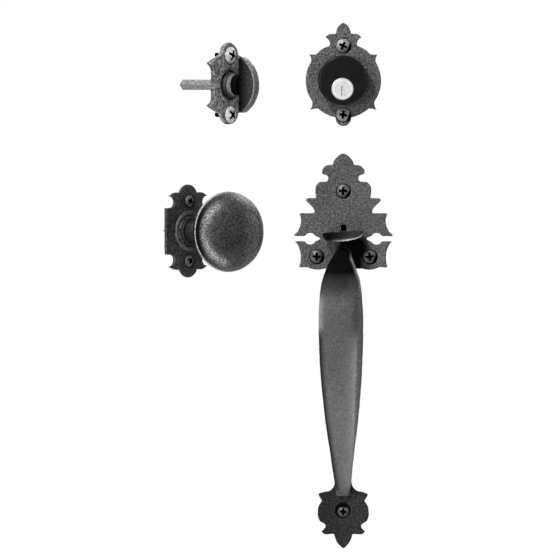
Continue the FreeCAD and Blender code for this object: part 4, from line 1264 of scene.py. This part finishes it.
def paper(name):
    """Pale near the object, where it keeps the shadows, and plain white away from it."""
    n = Nodes(name)
    n.link(n.ramp(n.noise(30, 2), [(0.3, 0.88), (0.7, 0.9)]), n.shader.inputs["Base Color"])
    n.shader.inputs["Roughness"].default_value = 0.9
    white = n.add("ShaderNodeEmission")
    away = n.add("ShaderNodeVectorMath", operation="LENGTH")
    n.link(n.coords, away.inputs[0])
    share = n.ramp(away.outputs["Value"], [(0.45, 0.8), (1.0, 1.0)])
    blend = n.add("ShaderNodeMixShader")
    n.link(n.maths("MULTIPLY", seen_ways(n.tree), share), blend.inputs["Fac"])
    n.link(n.shader.outputs["BSDF"], blend.inputs[1])
    n.link(white.outputs["Emission"], blend.inputs[2])
    n.link(blend.outputs["Shader"], n.tree.nodes["Material Output"].inputs["Surface"])
    return n.material


def make_stage():
    work = bmesh.new()
    around = 96
    circle = ring(1.0, count=around)
    rows = [[work.verts.new((x * r, y * r, 0)) for x, y in circle] for r in (0.4, 0.8, 1.25)]
    work.faces.new(rows[0])
    for inner, outer in zip(rows, rows[1:]):
        for k in range(around):
            j = (k + 1) % around
            work.faces.new((inner[k], outer[k], outer[j], inner[j]))
    mesh = mesh_of(work, "floor", outward=False)
    mesh.materials.append(paper("paper"))
    floor = new_object("floor", mesh)
    floor.location = (-0.06, 0, -0.36)


def bearing(azimuth, elevation):
    """The way from the object to what stands at these angles; 0, 0 is straight before it."""
    a, e = math.radians(azimuth), math.radians(elevation)
    return Vector((math.sin(a) * math.cos(e), -math.cos(a) * math.cos(e), math.sin(e)))


def lamp(name, spot, aim, size, watts):
    """An oblong lamp turned towards its aim."""
    light = bpy.data.lights.new(name, "AREA")
    light.shape = "RECTANGLE"
    light.size, light.size_y = size
    light.energy = watts
    holder = new_object(name, light)
    holder.location = spot
    holder.rotation_euler = (Vector(aim) - Vector(spot)).to_track_quat("-Z", "Y").to_euler()


def make_lights():
    centre = Vector((-0.05, 0, -0.03))
    distance = 1.9
    for name, azimuth, elevation, size, watts in (
        ("key", -30, 48, (0.16, 0.16), 47),
        ("front", -32, 8, (0.3, 0.4), 16),
        ("left", -82, 42, (0.3, 0.3), 9),
        ("right", 62, 14, (0.3, 0.9), 9),
        ("back", 158, 32, (0.5, 0.5), 14),
    ):
        lamp(name, centre + distance * bearing(azimuth, elevation), centre, size, watts)
    lamp("low", (-0.42, -0.28, -0.33), (-0.12, -0.04, 0), (0.12, 0.12), 1.0)


def make_room():
    """A white room that gives little light of its own."""
    world = bpy.data.worlds.new("room")
    bpy.context.scene.world = world
    world.use_nodes = True
    tree = world.node_tree
    tree.nodes["Background"].inputs["Color"].default_value = (1, 1, 1, 1)
    strength = tree.nodes.new("ShaderNodeMath")
    strength.operation = "MULTIPLY_ADD"
    tree.links.new(seen_ways(tree), strength.inputs[0])
    strength.inputs[1].default_value = 0.93
    strength.inputs[2].default_value = 0.07
    tree.links.new(strength.outputs["Value"], tree.nodes["Background"].inputs["Strength"])


def make_camera():
    distance, sensor = 8.0, 36
    back = bearing(3.3, 1.5)
    aim = Vector(((PHOTO / 2 - LATCH_U) * PIXEL, 0, (LATCH_V - PHOTO / 2) * PIXEL)) * MM
    data = bpy.data.cameras.new("camera")
    data.sensor_width = sensor
    data.lens = sensor * distance / (PHOTO * PIXEL * MM)
    data.clip_end = 30
    camera = new_object("camera", data)
    camera.location = aim + back * distance
    camera.rotation_euler = (-back).to_track_quat("-Z", "Y").to_euler()
    bpy.context.scene.camera = camera


make_handle()
make_lever()
screws("handle_screws", HANDLE, TOP_SCREWS + [FOOT_SCREW], 32, DARK_SCREW)
make_bolt_plate()
make_collar()
make_cylinder()
make_plug()
screws("deadbolt_screws", BOLT, BOLT_SCREWS, 32, GREY_SCREW)
make_turn_plate()
make_turn_bushing()
make_paddle()
dress("turn_square_bar", square_bar(6.6, -14, 51, 0.5), TURN, BAR, "turn", "turn_spindle")
screws("turn_screws", TURN, TURN_SCREWS, 13.5, BRIGHT_SCREW, point=1.2)
make_rose()
make_base_ring()
make_knob()
screws("knob_screws", KNOB, ROSE_SCREWS, 12, ROSE_SCREW)
finish_cad_nodes()
make_stage()
make_lights()
make_room()
make_camera()
bpy.context.scene.view_settings.view_transform = "Standard"
